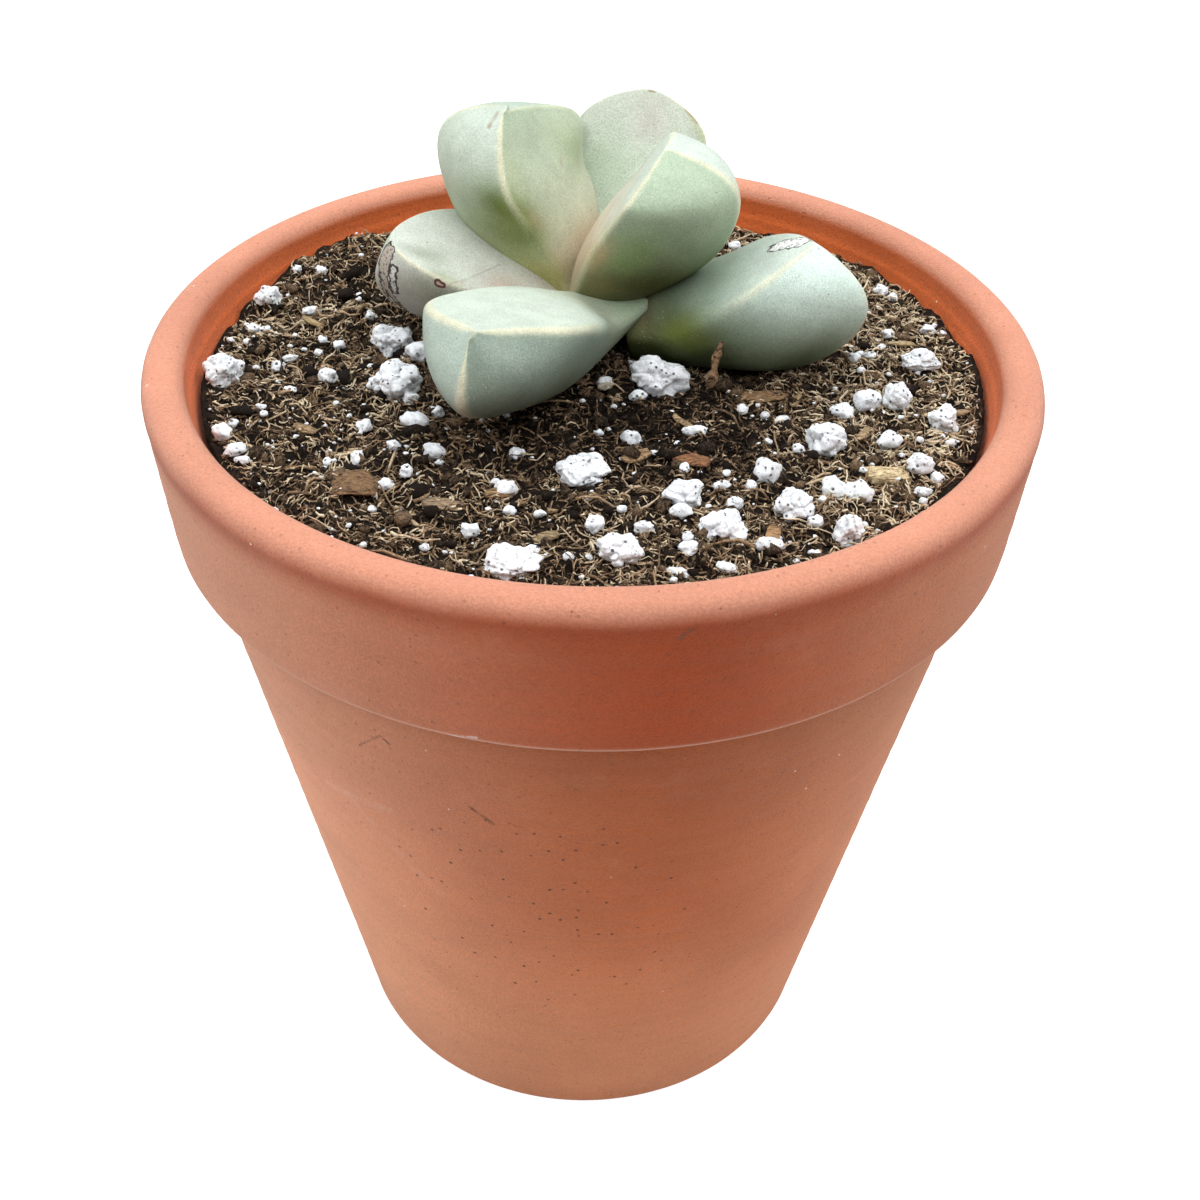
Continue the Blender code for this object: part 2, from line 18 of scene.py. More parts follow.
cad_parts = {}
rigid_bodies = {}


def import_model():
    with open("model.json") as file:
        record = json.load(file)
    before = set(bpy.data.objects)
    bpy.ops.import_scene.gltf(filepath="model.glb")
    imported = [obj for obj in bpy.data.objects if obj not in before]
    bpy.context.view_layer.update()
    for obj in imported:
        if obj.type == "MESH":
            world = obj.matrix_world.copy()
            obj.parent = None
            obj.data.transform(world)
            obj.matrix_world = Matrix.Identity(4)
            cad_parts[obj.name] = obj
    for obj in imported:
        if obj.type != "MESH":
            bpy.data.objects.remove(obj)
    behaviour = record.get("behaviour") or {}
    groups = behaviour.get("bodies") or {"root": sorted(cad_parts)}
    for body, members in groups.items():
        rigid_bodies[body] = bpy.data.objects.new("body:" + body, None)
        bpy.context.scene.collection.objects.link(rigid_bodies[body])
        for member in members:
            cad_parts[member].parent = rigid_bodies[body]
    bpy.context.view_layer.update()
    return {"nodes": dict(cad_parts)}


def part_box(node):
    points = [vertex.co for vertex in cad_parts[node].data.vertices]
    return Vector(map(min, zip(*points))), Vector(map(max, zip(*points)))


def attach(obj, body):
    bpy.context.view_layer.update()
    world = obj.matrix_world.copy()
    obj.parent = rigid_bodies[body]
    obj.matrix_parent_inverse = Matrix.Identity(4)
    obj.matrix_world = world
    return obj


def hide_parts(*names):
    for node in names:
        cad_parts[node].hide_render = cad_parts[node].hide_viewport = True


bl_info = {
    "name": "Potted Karoo Rose",
    "version": (1, 0, 0),
    "blender": (4, 5, 0),
    "location": "View3D > Sidebar > Karoo Rose",
    "description": "Builds a karoo rose in a clay pot with peat, perlite and a pale studio",
    "category": "Object",
}

MM = 0.001

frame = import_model()
POT_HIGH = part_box("pot")[1]

# Leaves: the measures that the solids have, from a scratch fit to the photograph, rounded, in
# millimetres and degrees, and steps of rounding of their three edges
LEAVES = {
    "leaf_middle_front": dict(
        base=(-2.5, 5.0, 80.8), heading=-113, rise=40, roll=-5, length=21.9, width=16.2,
        depth=10.3, base_width=0.70, base_depth=0.42, widest=0.67, tip_fullness=0.8, chin=0.53,
        chin_fullness=0.49, keel_reach=0.96, keel_lean=-0.04, curl=-0.30, sweep=0.02, twist=12,
        bulge=0.12, crown=0.0, rounding=36),
    "leaf_inner_right": dict(
        base=(-0.8, 9.4, 82.2), foot=82.0, heading=-48, rise=75, roll=27, length=17.7, width=14.5,
        depth=10.7, base_width=0.68, base_depth=0.43, widest=0.82, tip_fullness=1.38, chin=0.65,
        chin_fullness=0.64, keel_reach=0.97, keel_lean=0.04, curl=-0.23, sweep=-0.08, twist=4,
        bulge=0.16, crown=0.03, rounding=24),
    "leaf_inner_left": dict(
        base=(-1.1, 12.8, 83.7), foot=82.0, heading=210, rise=77, roll=-45, length=17.0, width=16.2,
        depth=12.3, base_width=0.90, base_depth=0.64, widest=0.60, tip_fullness=1.05, chin=0.45,
        chin_fullness=0.77, keel_reach=0.96, keel_lean=-0.09, curl=-0.20, sweep=0.20, twist=-7,
        bulge=0.15, crown=0.03, rounding=18),
    "leaf_middle_back": dict(
        base=(0.7, 9.6, 80.8), foot=80.6, heading=69, rise=60, roll=3, length=20.1, width=14.1,
        depth=9.3, base_width=0.72, base_depth=0.50, widest=0.73, tip_fullness=1.46, chin=0.66,
        chin_fullness=0.89, keel_reach=1.0, keel_lean=0.01, curl=-0.01, sweep=-0.02, twist=1,
        bulge=0.11, crown=0.03, rounding=10),
    "leaf_outer_right": dict(
        base=(7.8, 5.4, 80.5), heading=-28, rise=58, roll=13, length=15.8, width=13.6,
        depth=12.8, base_width=0.61, base_depth=0.40, widest=0.53, tip_fullness=1.08, chin=0.40,
        chin_fullness=0.63, keel_reach=0.95, keel_lean=0.04, curl=-0.31, sweep=0.0, twist=-4,
        bulge=0.09, crown=0.02, rounding=44),
    "leaf_outer_left": dict(
        base=(-1.7, 10.2, 81.7), foot=79.4, heading=199, rise=33, roll=-21, length=19.2, width=12.5,
        depth=9.5, base_width=0.85, base_depth=0.48, widest=0.46, tip_fullness=1.66, chin=0.51,
        chin_fullness=0.83, keel_reach=0.98, keel_lean=0.06, curl=-0.20, sweep=0.05, twist=2,
        bulge=0.14, crown=0.03, rounding=20),
}
# Where the hidden feet meet, their rings, size and start, then how full the blades are at their
# base and from what share of the length they have their own fullness
STEM_PLACE = (0.5, 8.5)
FOOT_RINGS = 9
FOOT_SHARE = 0.5
FOOT_START = 0.1
BASE_BULGE = 0.20
BASE_CROWN = 0.16
SHARP_FROM = 0.75

# Feet that show beside their neighbours: start, size and fullness there, bend as a share of the
# foot's length, and how far the rings face along the foot
NECKS = {
    "leaf_middle_front": ((5.4, 3.4, 83.9), 0.10, 1.5, 0.0, 0.0),
    "leaf_outer_right": ((4.4, 6.6, 79.8), 1.20, 1.0, 0.2, 0.7),
}
# Passes that smooth the rings where a neck, a hidden foot or the chin meets the blade, and how many
# rings they reach
NECK_PASSES = 200
FOOT_PASSES = 24
CHIN_PASSES = 120
SMOOTH_REACH = 11.0

# Colours of the flesh by face (upper, right side, left side), each from base to tip; the darkest colours
# at the bases of the middle front and outer right leaves are painted shade where they meet the soil and
# their neighbours
PALE = (0.53, 0.61, 0.53)
MINT = (0.45, 0.55, 0.46)
SAGE = (0.37, 0.48, 0.32)
SHADE = (0.19, 0.24, 0.15)
OLIVE = (0.18, 0.20, 0.05)
LIME = (0.66, 0.62, 0.19)
PINK = (0.56, 0.52, 0.40)
TAN = (0.62, 0.50, 0.36)
ROSE = (0.50, 0.38, 0.31)
BROWN = (0.35, 0.29, 0.20)
FLESH_AND_SHADE = {
    "leaf_middle_front": ((SAGE, PALE, PALE), (SHADE, (0.40, 0.50, 0.43), (0.41, 0.51, 0.44)),
                          ((0.13, 0.17, 0.11), (0.21, 0.28, 0.22), (0.23, 0.31, 0.25))),
    "leaf_inner_right": ((TAN, TAN, PALE), ((0.10, 0.11, 0.03), (0.31, 0.42, 0.23), (0.41, 0.52, 0.38)),
                         (OLIVE, SAGE, (0.60, 0.68, 0.61))),
    "leaf_inner_left": ((PINK, (0.52, 0.56, 0.42), (0.41, 0.50, 0.36)), ((0.36, 0.42, 0.27), SAGE, MINT),
                        (LIME, (0.44, 0.52, 0.36), PALE)),
    "leaf_middle_back": ((MINT, (0.54, 0.65, 0.53), (0.59, 0.63, 0.54)), (OLIVE, SAGE, MINT),
                         (OLIVE, SAGE, MINT)),
    "leaf_outer_right": (((0.13, 0.15, 0.05), (0.32, 0.41, 0.32), (0.60, 0.69, 0.62)),
                         ((0.05, 0.07, 0.015), (0.30, 0.41, 0.29), (0.74, 0.90, 0.83)),
                         ((0.05, 0.05, 0.02), SHADE, (0.66, 0.80, 0.74))),
    "leaf_outer_left": ((ROSE, (0.58, 0.61, 0.54), (0.57, 0.62, 0.55)), (PINK, SAGE, MINT),
                        ((0.36, 0.33, 0.24), (0.42, 0.42, 0.34), (0.56, 0.58, 0.52))),
}
# Soft blotches and painted shadows: share of the length, place round the leaf (0 to 3), their spreads,
# colour, strength
BLOTCHES_AND_SHADOWS = {
    # The first and third are painted shade, on the underside and on the side of the neck
    "leaf_middle_front": ((0.72, 2.22, 0.25, 0.28, (0.16, 0.18, 0.13), 0.70),
                          (0.48, 2.50, 0.20, 0.34, (0.16, 0.19, 0.11), 0.60),
                          (0.30, 0.04, 0.13, 0.16, (0.24, 0.29, 0.20), 0.60),
                          (0.95, 2.70, 0.14, 0.20, (0.34, 0.41, 0.34), 0.60),
                          (0.20, 0.40, 0.16, 0.60, (0.50, 0.52, 0.40), 0.50)),
    # The first is painted shade on the lower half, where the outer right leaf keeps the light off
    "leaf_inner_right": ((0.35, 1.48, 0.26, 0.50, (0.08, 0.075, 0.004), 0.97),
                         (0.58, 1.24, 0.16, 0.16, (0.25, 0.37, 0.13), 0.75),
                         (0.50, 1.04, 0.14, 0.08, (0.64, 0.43, 0.22), 0.70),
                         (0.28, 1.16, 0.14, 0.16, (0.26, 0.20, 0.07), 0.60)),
    "leaf_inner_left": ((0.63, 2.92, 0.13, 0.18, (0.10, 0.15, 0.004), 0.98),
                        (0.46, 2.84, 0.15, 0.24, (0.17, 0.20, 0.01), 0.90),
                        (0.56, 3.00, 0.12, 0.10, (0.17, 0.21, 0.03), 0.75),
                        (0.26, 2.62, 0.16, 0.22, (0.50, 0.52, 0.22), 0.75),
                        (0.46, 2.70, 0.16, 0.16, (0.27, 0.32, 0.20), 0.45),
                        (0.16, 2.95, 0.12, 0.16, (0.50, 0.46, 0.15), 0.80),
                        (0.64, 0.72, 0.12, 0.12, (0.28, 0.38, 0.18), 0.55),
                        (0.52, 0.08, 0.06, 0.05, (0.40, 0.28, 0.19), 0.50),
                        (0.22, 0.30, 0.12, 0.26, (0.72, 0.58, 0.40), 0.70),
                        (0.78, 0.10, 0.16, 0.10, (0.46, 0.52, 0.30), 0.40)),
    "leaf_middle_back": ((0.85, 0.58, 0.10, 0.16, (0.58, 0.54, 0.47), 0.60),
                         (0.60, 0.30, 0.16, 0.20, (0.36, 0.48, 0.33), 0.50),
                         (0.84, 0.99, 0.10, 0.06, (0.45, 0.47, 0.24), 0.60)),
    # The first, third and fourth are painted shade low down and at the base, near the soil and the
    # neighbouring leaves
    "leaf_outer_right": ((0.20, 1.10, 0.18, 0.36, (0.045, 0.07, 0.006), 0.92),
                         (0.25, 1.02, 0.17, 0.15, (0.20, 0.25, 0.03), 0.66),
                         (0.44, 1.74, 0.26, 0.22, (0.09, 0.14, 0.06), 0.82),
                         (0.00, 0.60, 0.08, 0.30, (0.12, 0.05, 0.05), 0.70)),
    "leaf_outer_left": ((0.48, 0.10, 0.10, 0.14, ROSE, 0.85),
                        (0.85, 0.26, 0.10, 0.12, (0.30, 0.33, 0.25), 0.70),
                        (0.76, 0.04, 0.06, 0.07, (0.36, 0.42, 0.24), 0.60),
                        (0.72, 2.80, 0.14, 0.16, (0.27, 0.28, 0.17), 0.60)),
}
CREASE_STRENGTH = 0.78
# Pale lines: width beside the usual, then strength at the base and the tip on the left margin,
# the right margin and the keel
CREASES = {
    "leaf_middle_front": (1.5, (-0.9, 0.9), (-0.7, 0.9), (-0.1, 0.9)),
    "leaf_inner_right": (0.9, (0.1, 0.6), (0.2, 0.8), (0.0, 0.8)),
    "leaf_inner_left": (1.1, (-1.0, 1.0), (0.0, 0.5), (0.0, 0.6)),
    "leaf_middle_back": (0.7, (0.0, 0.3), (0.0, 0.5), (0.0, 0.3)),
    "leaf_outer_right": (1.0, (0.0, 0.3), (-0.8, 0.75), (0.0, 0.4)),
    "leaf_outer_left": (0.8, (-1.0, 0.7), (0.0, 0.4), (0.0, 0.3)),
}
# Small dents and lobes: share of the length, place round the leaf, spreads, push in millimetres
DENTS = {
    "leaf_inner_left": ((0.68, 0.92, 0.12, 0.30, 1.10), (0.45, 0.85, 0.09, 0.26, -0.60)),
    "leaf_outer_right": ((0.12, 0.45, 0.24, 0.60, 2.00),),
}
# Paints over the flesh
INK = (0.03, 0.02, 0.025)
FROST = (0.68, 0.74, 0.62)
BLACK_DOT = (0.06, 0.055, 0.05)
BROWN_DOT = (0.14, 0.13, 0.10)
# Scars on the leaves, and painted shade along a fold: line from one point to another, half width, fill,
# outline, strength
SCARS_AND_FOLD_SHADE = (
    ((16.5, 3.4, 89.7), (18.3, 1.9, 90.7), 0.95, (0.84, 0.86, 0.83), (0.04, 0.02, 0.04), 1.0),
    ((19.2, 0.7, 91.2), (21.0, -1.0, 90.4), 0.10, (0.10, 0.05, 0.08), None, 0.9),
    ((-19.4, 3.6, 88.0), (-19.2, 4.3, 82.4), 0.85, (0.50, 0.44, 0.36), INK, 1.0),
    ((-18.4, 4.3, 82.6), (-18.2, 4.8, 82.0), 0.42, (0.34, 0.20, 0.10), (0.03, 0.02, 0.02), 1.0),
    ((-18.6, 2.9, 86.6), (-18.6, 3.1, 84.6), 0.50, (0.74, 0.74, 0.70), INK, 1.0),
    ((-19.4, 3.9, 84.9), (-19.2, 4.6, 82.6), 0.34, (0.80, 0.80, 0.76), INK, 1.0),
    ((-14.5, 1.3, 86.1), (-14.1, 1.2, 85.9), 0.26, (0.55, 0.45, 0.35), (0.10, 0.015, 0.02), 1.0),
    ((-12.4, 1.7, 86.0), (-12.2, 1.9, 86.0), 0.12, (0.50, 0.17, 0.22), None, 0.8),
    # The next two are painted shade along a fold of the outer left leaf
    ((-13.6, 1.1, 86.1), (-11.8, 2.4, 86.1), 0.16, (0.30, 0.26, 0.18), None, 0.55),
    ((-11.8, 2.4, 86.1), (-9.0, 5.4, 86.1), 0.12, (0.26, 0.22, 0.16), None, 0.50),
    ((-9.3, 9.5, 99.0), (-9.9, 8.3, 98.2), 0.38, BROWN, None, 0.75),
    ((-9.9, 8.3, 98.2), (-10.0, 7.4, 97.1), 0.28, BROWN, None, 0.65),
    ((-10.1, 7.2, 96.9), (-10.4, 6.8, 96.2), 0.36, BROWN, None, 0.75),
    ((-8.6, 9.2, 99.1), (-7.2, 9.9, 98.9), 0.26, BROWN, None, 0.45),
    ((-3.2, 11.6, 94.9), (-3.9, 10.8, 93.2), 0.40, (0.38, 0.30, 0.19), None, 0.45),
    ((-0.9, 11.6, 89.6), (-0.7, 11.5, 89.0), 0.09, (0.06, 0.05, 0.04), None, 0.9),
    ((8.0, 17.3, 97.0), (9.2, 16.4, 95.8), 0.26, (0.33, 0.25, 0.12), None, 0.75),
    ((4.5, 18.9, 98.0), (5.1, 18.8, 97.9), 0.16, (0.30, 0.20, 0.12), None, 0.8),
    ((6.3, 4.2, 83.4), (6.6, 3.9, 83.0), 0.26, (0.30, 0.12, 0.14), (0.05, 0.01, 0.02), 0.9),
)

# Dry flakes on the soil: place, length, width, turn in degrees, colour
FLAKES = (
    (15.6, -4.4, 5.0, 2.0, 10, (0.30, 0.18, 0.09)), (3.9, -15.4, 3.0, 1.4, 35, (0.42, 0.27, 0.14)),
    (8.6, -15.6, 3.6, 1.8, -20, (0.28, 0.13, 0.06)), (1.1, -3.3, 1.9, 1.2, 50, (0.60, 0.52, 0.40)),
    (-7.5, -21.6, 2.6, 1.3, 15, (0.32, 0.20, 0.10)), (14.9, -26.2, 2.4, 1.2, 80, (0.42, 0.25, 0.12)),
    (-25.0, -12.5, 2.6, 1.1, -30, (0.36, 0.24, 0.13)), (24.0, -10.5, 2.4, 0.9, 60, (0.45, 0.32, 0.18)),
    (-12.0, -23.0, 4.0, 1.6, -12, (0.30, 0.21, 0.13)), (29.6, 6.0, 3.0, 0.8, 5, (0.48, 0.36, 0.20)),
    (-21.0, 14.0, 2.6, 1.2, 25, (0.36, 0.22, 0.12)), (18.5, -5.0, 2.8, 0.8, 70, (0.40, 0.28, 0.15)),
    (-27.5, 7.0, 3.0, 0.7, -40, (0.46, 0.34, 0.18)), (33.0, -6.6, 2.2, 0.7, 12, (0.42, 0.30, 0.17)),
    (-3.5, -26.8, 2.8, 1.2, 30, (0.34, 0.25, 0.14)), (8.0, -9.5, 2.6, 0.7, -50, (0.44, 0.31, 0.17)),
)

# Smaller perlite, nearly all given one by one: place on the soil, width and depth, in millimetres
SMALL_PERLITE = (
    (-28, 16, 1.4, 1.2), (-30.5, 16.5, 1.2, 1.0), (-23.5, 12, 1.2, 1.6), (-28, 9.5, 2.0, 1.2),
    (-33, 5.5, 1.6, 1.2), (-31.5, 5, 0.8, 0.8), (-33, 2.5, 0.9, 0.8), (-22, 8, 1.0, 1.3),
    (-24.5, 3, 1.4, 1.2), (-26, 3.5, 1.0, 1.1), (-26, 1, 0.9, 1.0), (-29.5, -1, 1.5, 1.3),
    (-28.5, 0, 1.6, 0.8), (-24.5, -3.5, 2.0, 1.8), (-27.5, -5.5, 1.6, 0.7), (-29.5, -9, 1.0, 0.7),
    (-32, -13.5, 1.9, 1.8), (-31.5, -11.5, 1.0, 1.0), (-30.5, -16, 2.2, 1.4), (-29.5, -17.5, 1.6, 0.8),
    (-20, -11.5, 1.5, 1.8), (-16.5, 1, 2.6, 2.6), (-15.5, -11, 3.0, 2.1), (-14, -8, 1.4, 1.2),
    (-16.5, -6.5, 1.6, 1.6), (-13.5, -15, 2.2, 1.8), (-17, -15, 1.3, 1.3), (-20, -16.5, 1.2, 2.0),
    (-22.5, -16.5, 0.9, 1.2), (-15.5, -18.5, 1.2, 1.5), (-17, -20.5, 1.5, 1.3), (-20.5, -22, 0.8, 0.8),
    (-6.5, -14.5, 1.8, 1.3), (-7, -21, 2.0, 1.9), (-8, -19, 0.9, 0.8), (-6.5, -24, 1.2, 1.0),
    (-4, -24, 1.1, 0.8), (-9.5, -26.5, 1.5, 1.5), (-4.5, -29, 1.6, 1.0), (-13, -28.5, 1.1, 0.8),
    (-1.5, -30, 1.0, 0.9), (0.5, -25, 1.7, 2.1), (0.5, -29.5, 1.6, 2.0), (1, -2.5, 1.6, 1.4),
    (4, 0.5, 1.0, 1.5), (4, -5.5, 1.8, 1.3), (3.5, -12, 2.1, 1.8), (5.5, -14, 0.9, 0.6),
    (9, -11, 2.4, 1.2), (8, -17, 0.9, 1.4), (11, -19.5, 1.7, 1.0), (13.5, -19.5, 1.0, 1.3),
    (15, -18, 2.6, 2.6), (12, -22, 1.5, 1.4), (7.5, -24, 2.0, 1.4), (4.5, -25.5, 1.8, 1.2),
    (8, -27, 1.0, 1.4), (8, -28.5, 1.8, 1.5), (2, -27, 1.4, 1.0), (7, -31, 2.1, 1.1),
    (11, -30.5, 1.9, 1.1), (14.5, -28, 2.4, 1.6), (18.5, -24, 1.4, 1.3), (20.5, -19.5, 2.3, 2.3),
    (22.5, -20, 2.6, 2.5), (22.5, -24, 0.8, 0.7), (13.5, -6.5, 1.2, 1.2), (15.5, -7.5, 0.9, 0.9),
    (17, -8, 1.6, 0.9), (18, -13.5, 1.2, 1.1), (22.5, -6.5, 2.4, 2.2), (25, -5.5, 2.8, 2.3),
    (26, -12, 2.3, 1.9), (32, -9.5, 1.3, 0.8), (31.5, -12, 1.1, 0.8), (33, -13.5, 2.0, 1.8),
    (28, -16.5, 2.5, 2.1), (29.5, -17.5, 1.3, 1.4), (28, -19.5, 1.6, 1.0), (24.5, 2, 1.2, 1.1),
    (26, 2.5, 1.4, 0.9), (28.5, 8, 1.2, 1.5), (27.5, 5, 1.0, 0.6), (32.5, 8.5, 1.6, 1.3),
    (34, 8.5, 0.9, 0.6), (35, 4, 1.6, 1.4), (29, 17, 1.6, 1.5), (30, 15.5, 1.1, 1.3),
    (14.5, 26.5, 1.4, 1.3),
)

# Peat fibres: name, one in how many of them all, seed, middle and spread of their shade, stout or not
FIBRES = (
    ("peat_fibres", 3, 31, (0.30, 0.13), False),
    ("peat_tan", 3, 37, (0.56, 0.16), False),
    ("peat_straw", 3, 47, (0.84, 0.15), False),
    ("peat_sticks", 60, 53, (0.66, 0.16), True),
)
FIBRE_POINTS = 4
FIBRE_SIDES = 3
CRUMB_SEED = 23
# A low mound in the soil, the place under the front leaves and in front of the plant where the peat is
# darkened by painted shade and by moisture, and where the paler right side begins
MOUND_PLACE = (-24.0, 20.0)
MOUND_REACH = 8.0
SHADED_MOIST_PLACE = (3.0, -9.0)
SHADED_MOIST_REACH = (16.0, 10.0)
PALE_SIDE_FROM = 18.0
# Perlite: number of solids, first seed of the small grains' shapes, seed of the specks' places, and
# dust in the finest pits
LARGE_GRAINS = 16
SMALL_SEED = 40
SPECK_SEED = 5
FINE_DUST = (0.16, 0.13, 0.11)
# Litter and stem: colour, and colour of the darker grain
PALE_WOOD = ((0.66, 0.53, 0.32), (0.26, 0.18, 0.09))
DRY_BARK = ((0.24, 0.14, 0.07), (0.07, 0.04, 0.025))
DRY_SCALE = ((0.42, 0.27, 0.15), (0.08, 0.04, 0.025))
STEM_SKIN = ((0.32, 0.24, 0.14), (0.12, 0.08, 0.05))
# Upward ray that tells what is inside a mesh, in metres: its reach, and its step past each face
UP = Vector((0.0, 0.0, 1.0))
RAY_REACH = 0.05
RAY_STEP = 0.00001
MOST_CROSSINGS = 9

# Dark paints of the marks on the pot
SCORCH = (0.17, 0.055, 0.025)
SOOT = (0.14, 0.045, 0.02)
SMUDGE = (0.14, 0.05, 0.03)
# Marks on the pot: a scratch from one point to another, its half width, colour and strength
CLAY_MARKS = (
    ((-10.8, -38.5, 66.9), (-8.4, -39.2, 67.4), 0.30, (0.86, 0.80, 0.78), 0.85),
    ((-19.3, -30.7, 58.4), (-17.1, -32.5, 61.3), 0.24, SCORCH, 0.80),
    ((-17.1, -32.5, 61.3), (-16.4, -32.9, 60.6), 0.26, SCORCH, 0.85),
    ((-9.6, -34.3, 54.9), (-7.7, -34.6, 53.0), 0.32, SOOT, 0.90),
    ((-6.3, -35.0, 53.5), (-5.3, -35.1, 53.2), 0.24, SOOT, 0.85),
    ((-2.2, -37.1, 62.0), (-0.9, -37.1, 61.7), 0.32, SCORCH, 0.85),
    ((-0.6, -36.6, 59.4), (0.6, -36.6, 58.6), 0.26, SMUDGE, 0.75),
    ((7.0, -40.2, 79.0), (8.2, -40.0, 80.2), 0.34, SMUDGE, 0.85),
    ((-23.7, -25.0, 47.9), (-17.4, -30.2, 50.0), 0.8, (0.80, 0.50, 0.42), 0.20),
    ((-21.6, -26.9, 48.6), (-13.2, -30.2, 38.8), 1.0, (0.80, 0.48, 0.40), 0.14),
)
# Rounds and worked edges of the pot in millimetres, and the number of its sides
LIP_ROUND = 1.55
BAND_ROUND = 0.8
SOLE_ROUND = 1.0
FLOOR_ROUND = 2.0
DRAIN_EDGE = 0.4
POT_SIDES = 224
# Slope of the pot's wall, and the radii between which, less the slope, inside becomes outside
WALL_SLOPE = 0.17
WALL_MIDDLE = (23.4, 23.9)
# Grooves inside the lip: drop below it and width
GROOVES = ((2.5, 0.35), (3.6, 0.30))
# Sideways places where the painted light on the clay's sides begins and where it is strongest, and the
# patch with most pits
LEFT_LIGHT_SPAN = (8.0, -34.0)
RIGHT_LIGHT_SPAN = (6.0, 34.0)
PITTED_PLACE = (-3.0, -31.0, 40.0)
PITTED_REACH = 20.0
# Paints over the clay
# The first two are painted light: paler clay on the left side, and on the right side and towards the foot
LEFT_PAINTED_LIGHT = (0.78, 0.365, 0.215)
RIGHT_PAINTED_LIGHT = (0.66, 0.285, 0.135)
CHALK = (0.76, 0.42, 0.29)
STAIN = (0.40, 0.11, 0.05)
RUBBED = (0.82, 0.50, 0.38)
PIT = (0.09, 0.025, 0.012)
FINE_PIT = (0.20, 0.06, 0.03)
SALT = (0.88, 0.74, 0.66)

# Studio panels: name, setting that they share, how much of it, direction, spread in degrees
PANELS = (
    ("top_panel", "top", 1.00, (0.02, 0.06, 1.0), 100),
    ("left_panel", "side", 1.30, (-1.0, -0.05, 0.45), 80),
    ("right_panel", "side", 1.20, (1.0, -0.10, 0.50), 90),
)
# Point that the camera looks at and its sensor in millimetres, and two distances in metres
LOOKED_AT = (1.08, 0.0, 50.82)
SENSOR_WIDTH = 36.0
NEAREST_SEEN = 0.005
FLOOR_REACH = 2.5


def tint(default, name, text):
    """Colour property in linear light."""
    return FloatVectorProperty(name=name, description=text, subtype="COLOR", size=3, min=0.0, max=1.0,
                               default=default)


def length(default, name, text):
    """Length property in metres."""
    return FloatProperty(name=name, description=text, subtype="DISTANCE", unit="LENGTH", min=0.0,
                         precision=4, default=default)


def degrees(default, name, text):
    """Angle property, given in degrees."""
    return FloatProperty(name=name, description=text, subtype="ANGLE", default=math.radians(default))


def amount(default, name, text):
    """Property that is a plain number."""
    return FloatProperty(name=name, description=text, default=default, min=0.0)


def whole(default, name, text, low=0):
    """Property that is a whole number."""
    return IntProperty(name=name, description=text, default=default, min=low)


class KarooPot(bpy.types.PropertyGroup):
    """Sizes and colours of the clay pot."""
    height: length(POT_HIGH[2], "Height", "Height of the pot from its foot to its lip")
    rim_radius: length(POT_HIGH[0], "Rim radius", "Outside radius of the rim band at the lip")
    lip: length(0.0038, "Lip", "Thickness of the lip")
    band_height: length(0.0153, "Band height", "Height of the rim band")
    band_foot_radius: length(0.0400, "Band foot radius", "Radius at the band's lower edge")
    neck_radius: length(0.0377, "Neck radius", "Radius of the body just under the band")
    foot_radius: length(0.0263, "Foot radius", "Radius of the foot")
    wall: length(0.0040, "Wall", "Thickness of the body's wall")
    floor: length(0.0050, "Floor", "Thickness of the pot's floor")
    drain_radius: length(0.0042, "Drain radius", "Radius of the drain hole")
    ripple: length(0.00004, "Ripple", "Height of the potter's turning lines")
    body: tint((0.435, 0.098, 0.019), "Body", "Colour of the body's fired clay")
    band: tint((0.385, 0.061, 0.008), "Band", "Colour of the rim band")
    rim: tint((0.64, 0.275, 0.175), "Lip", "Colour of the rubbed lip")
    inside: tint((0.78, 0.160, 0.034), "Inside", "Colour of the bare inside wall")


class KarooSoil(bpy.types.PropertyGroup):
    """Sizes and colours of the peat."""
    level: length(0.0782, "Level", "Height of the soil above the pot's foot")
    fibres: whole(25000, "Fibres", "Number of loose peat fibres")
    crumbs: whole(3000, "Crumbs", "Number of loose peat crumbs")
    dark: tint((0.014, 0.009, 0.006), "Dark peat", "Colour of the deep peat")
    tan: tint((0.350, 0.230, 0.135), "Fibre", "Colour of the dry fibres")
    straw: tint((0.82, 0.69, 0.49), "Straw", "Colour of the palest fibres")


class KarooPerlite(bpy.types.PropertyGroup):
    """Number and colours of the perlite."""
    colour: tint((0.90, 0.94, 0.98), "Perlite", "Colour of the clean grains")
    dust: tint((0.045, 0.04, 0.04), "Dust", "Colour of the peat dust in the pits")
    specks: whole(700, "Specks", "Number of tiny loose specks")


class KarooLeaves(bpy.types.PropertyGroup):
    """Fineness and pale lines of the leaves."""
    rings: whole(96, "Rings", "Sections along a leaf", 12)
    steps: whole(28, "Steps", "Points across each face of a leaf", 4)
    crease: length(0.00026, "Crease", "Half the width of the pale line on an edge")
    cream: tint((0.72, 0.69, 0.49), "Crease colour", "Colour of the pale lines")


class KarooStage(bpy.types.PropertyGroup):
    """Camera, light and floor."""
    elevation: degrees(38.10, "Elevation", "Camera's angle above the floor")
    distance: length(0.1634, "Distance", "Camera's distance from what it looks at")
    roll: degrees(1.437, "Roll", "Camera's lean")
    lens: amount(46.83, "Lens", "Focal length in millimetres")
    sky: amount(0.06, "Sky", "Strength of the even light")
    top: amount(4.3, "Top light", "Strength of the light from above")
    side: amount(1.25, "Side lights", "Strength of the lights at the sides")
    floor: tint((0.48, 0.48, 0.48), "Floor", "Colour of the floor")
    glow: amount(0.80, "Glow", "How much the floor is brightened to the viewer")
    wall: amount(1.2, "Wall", "Brightness of the wall behind the floor")


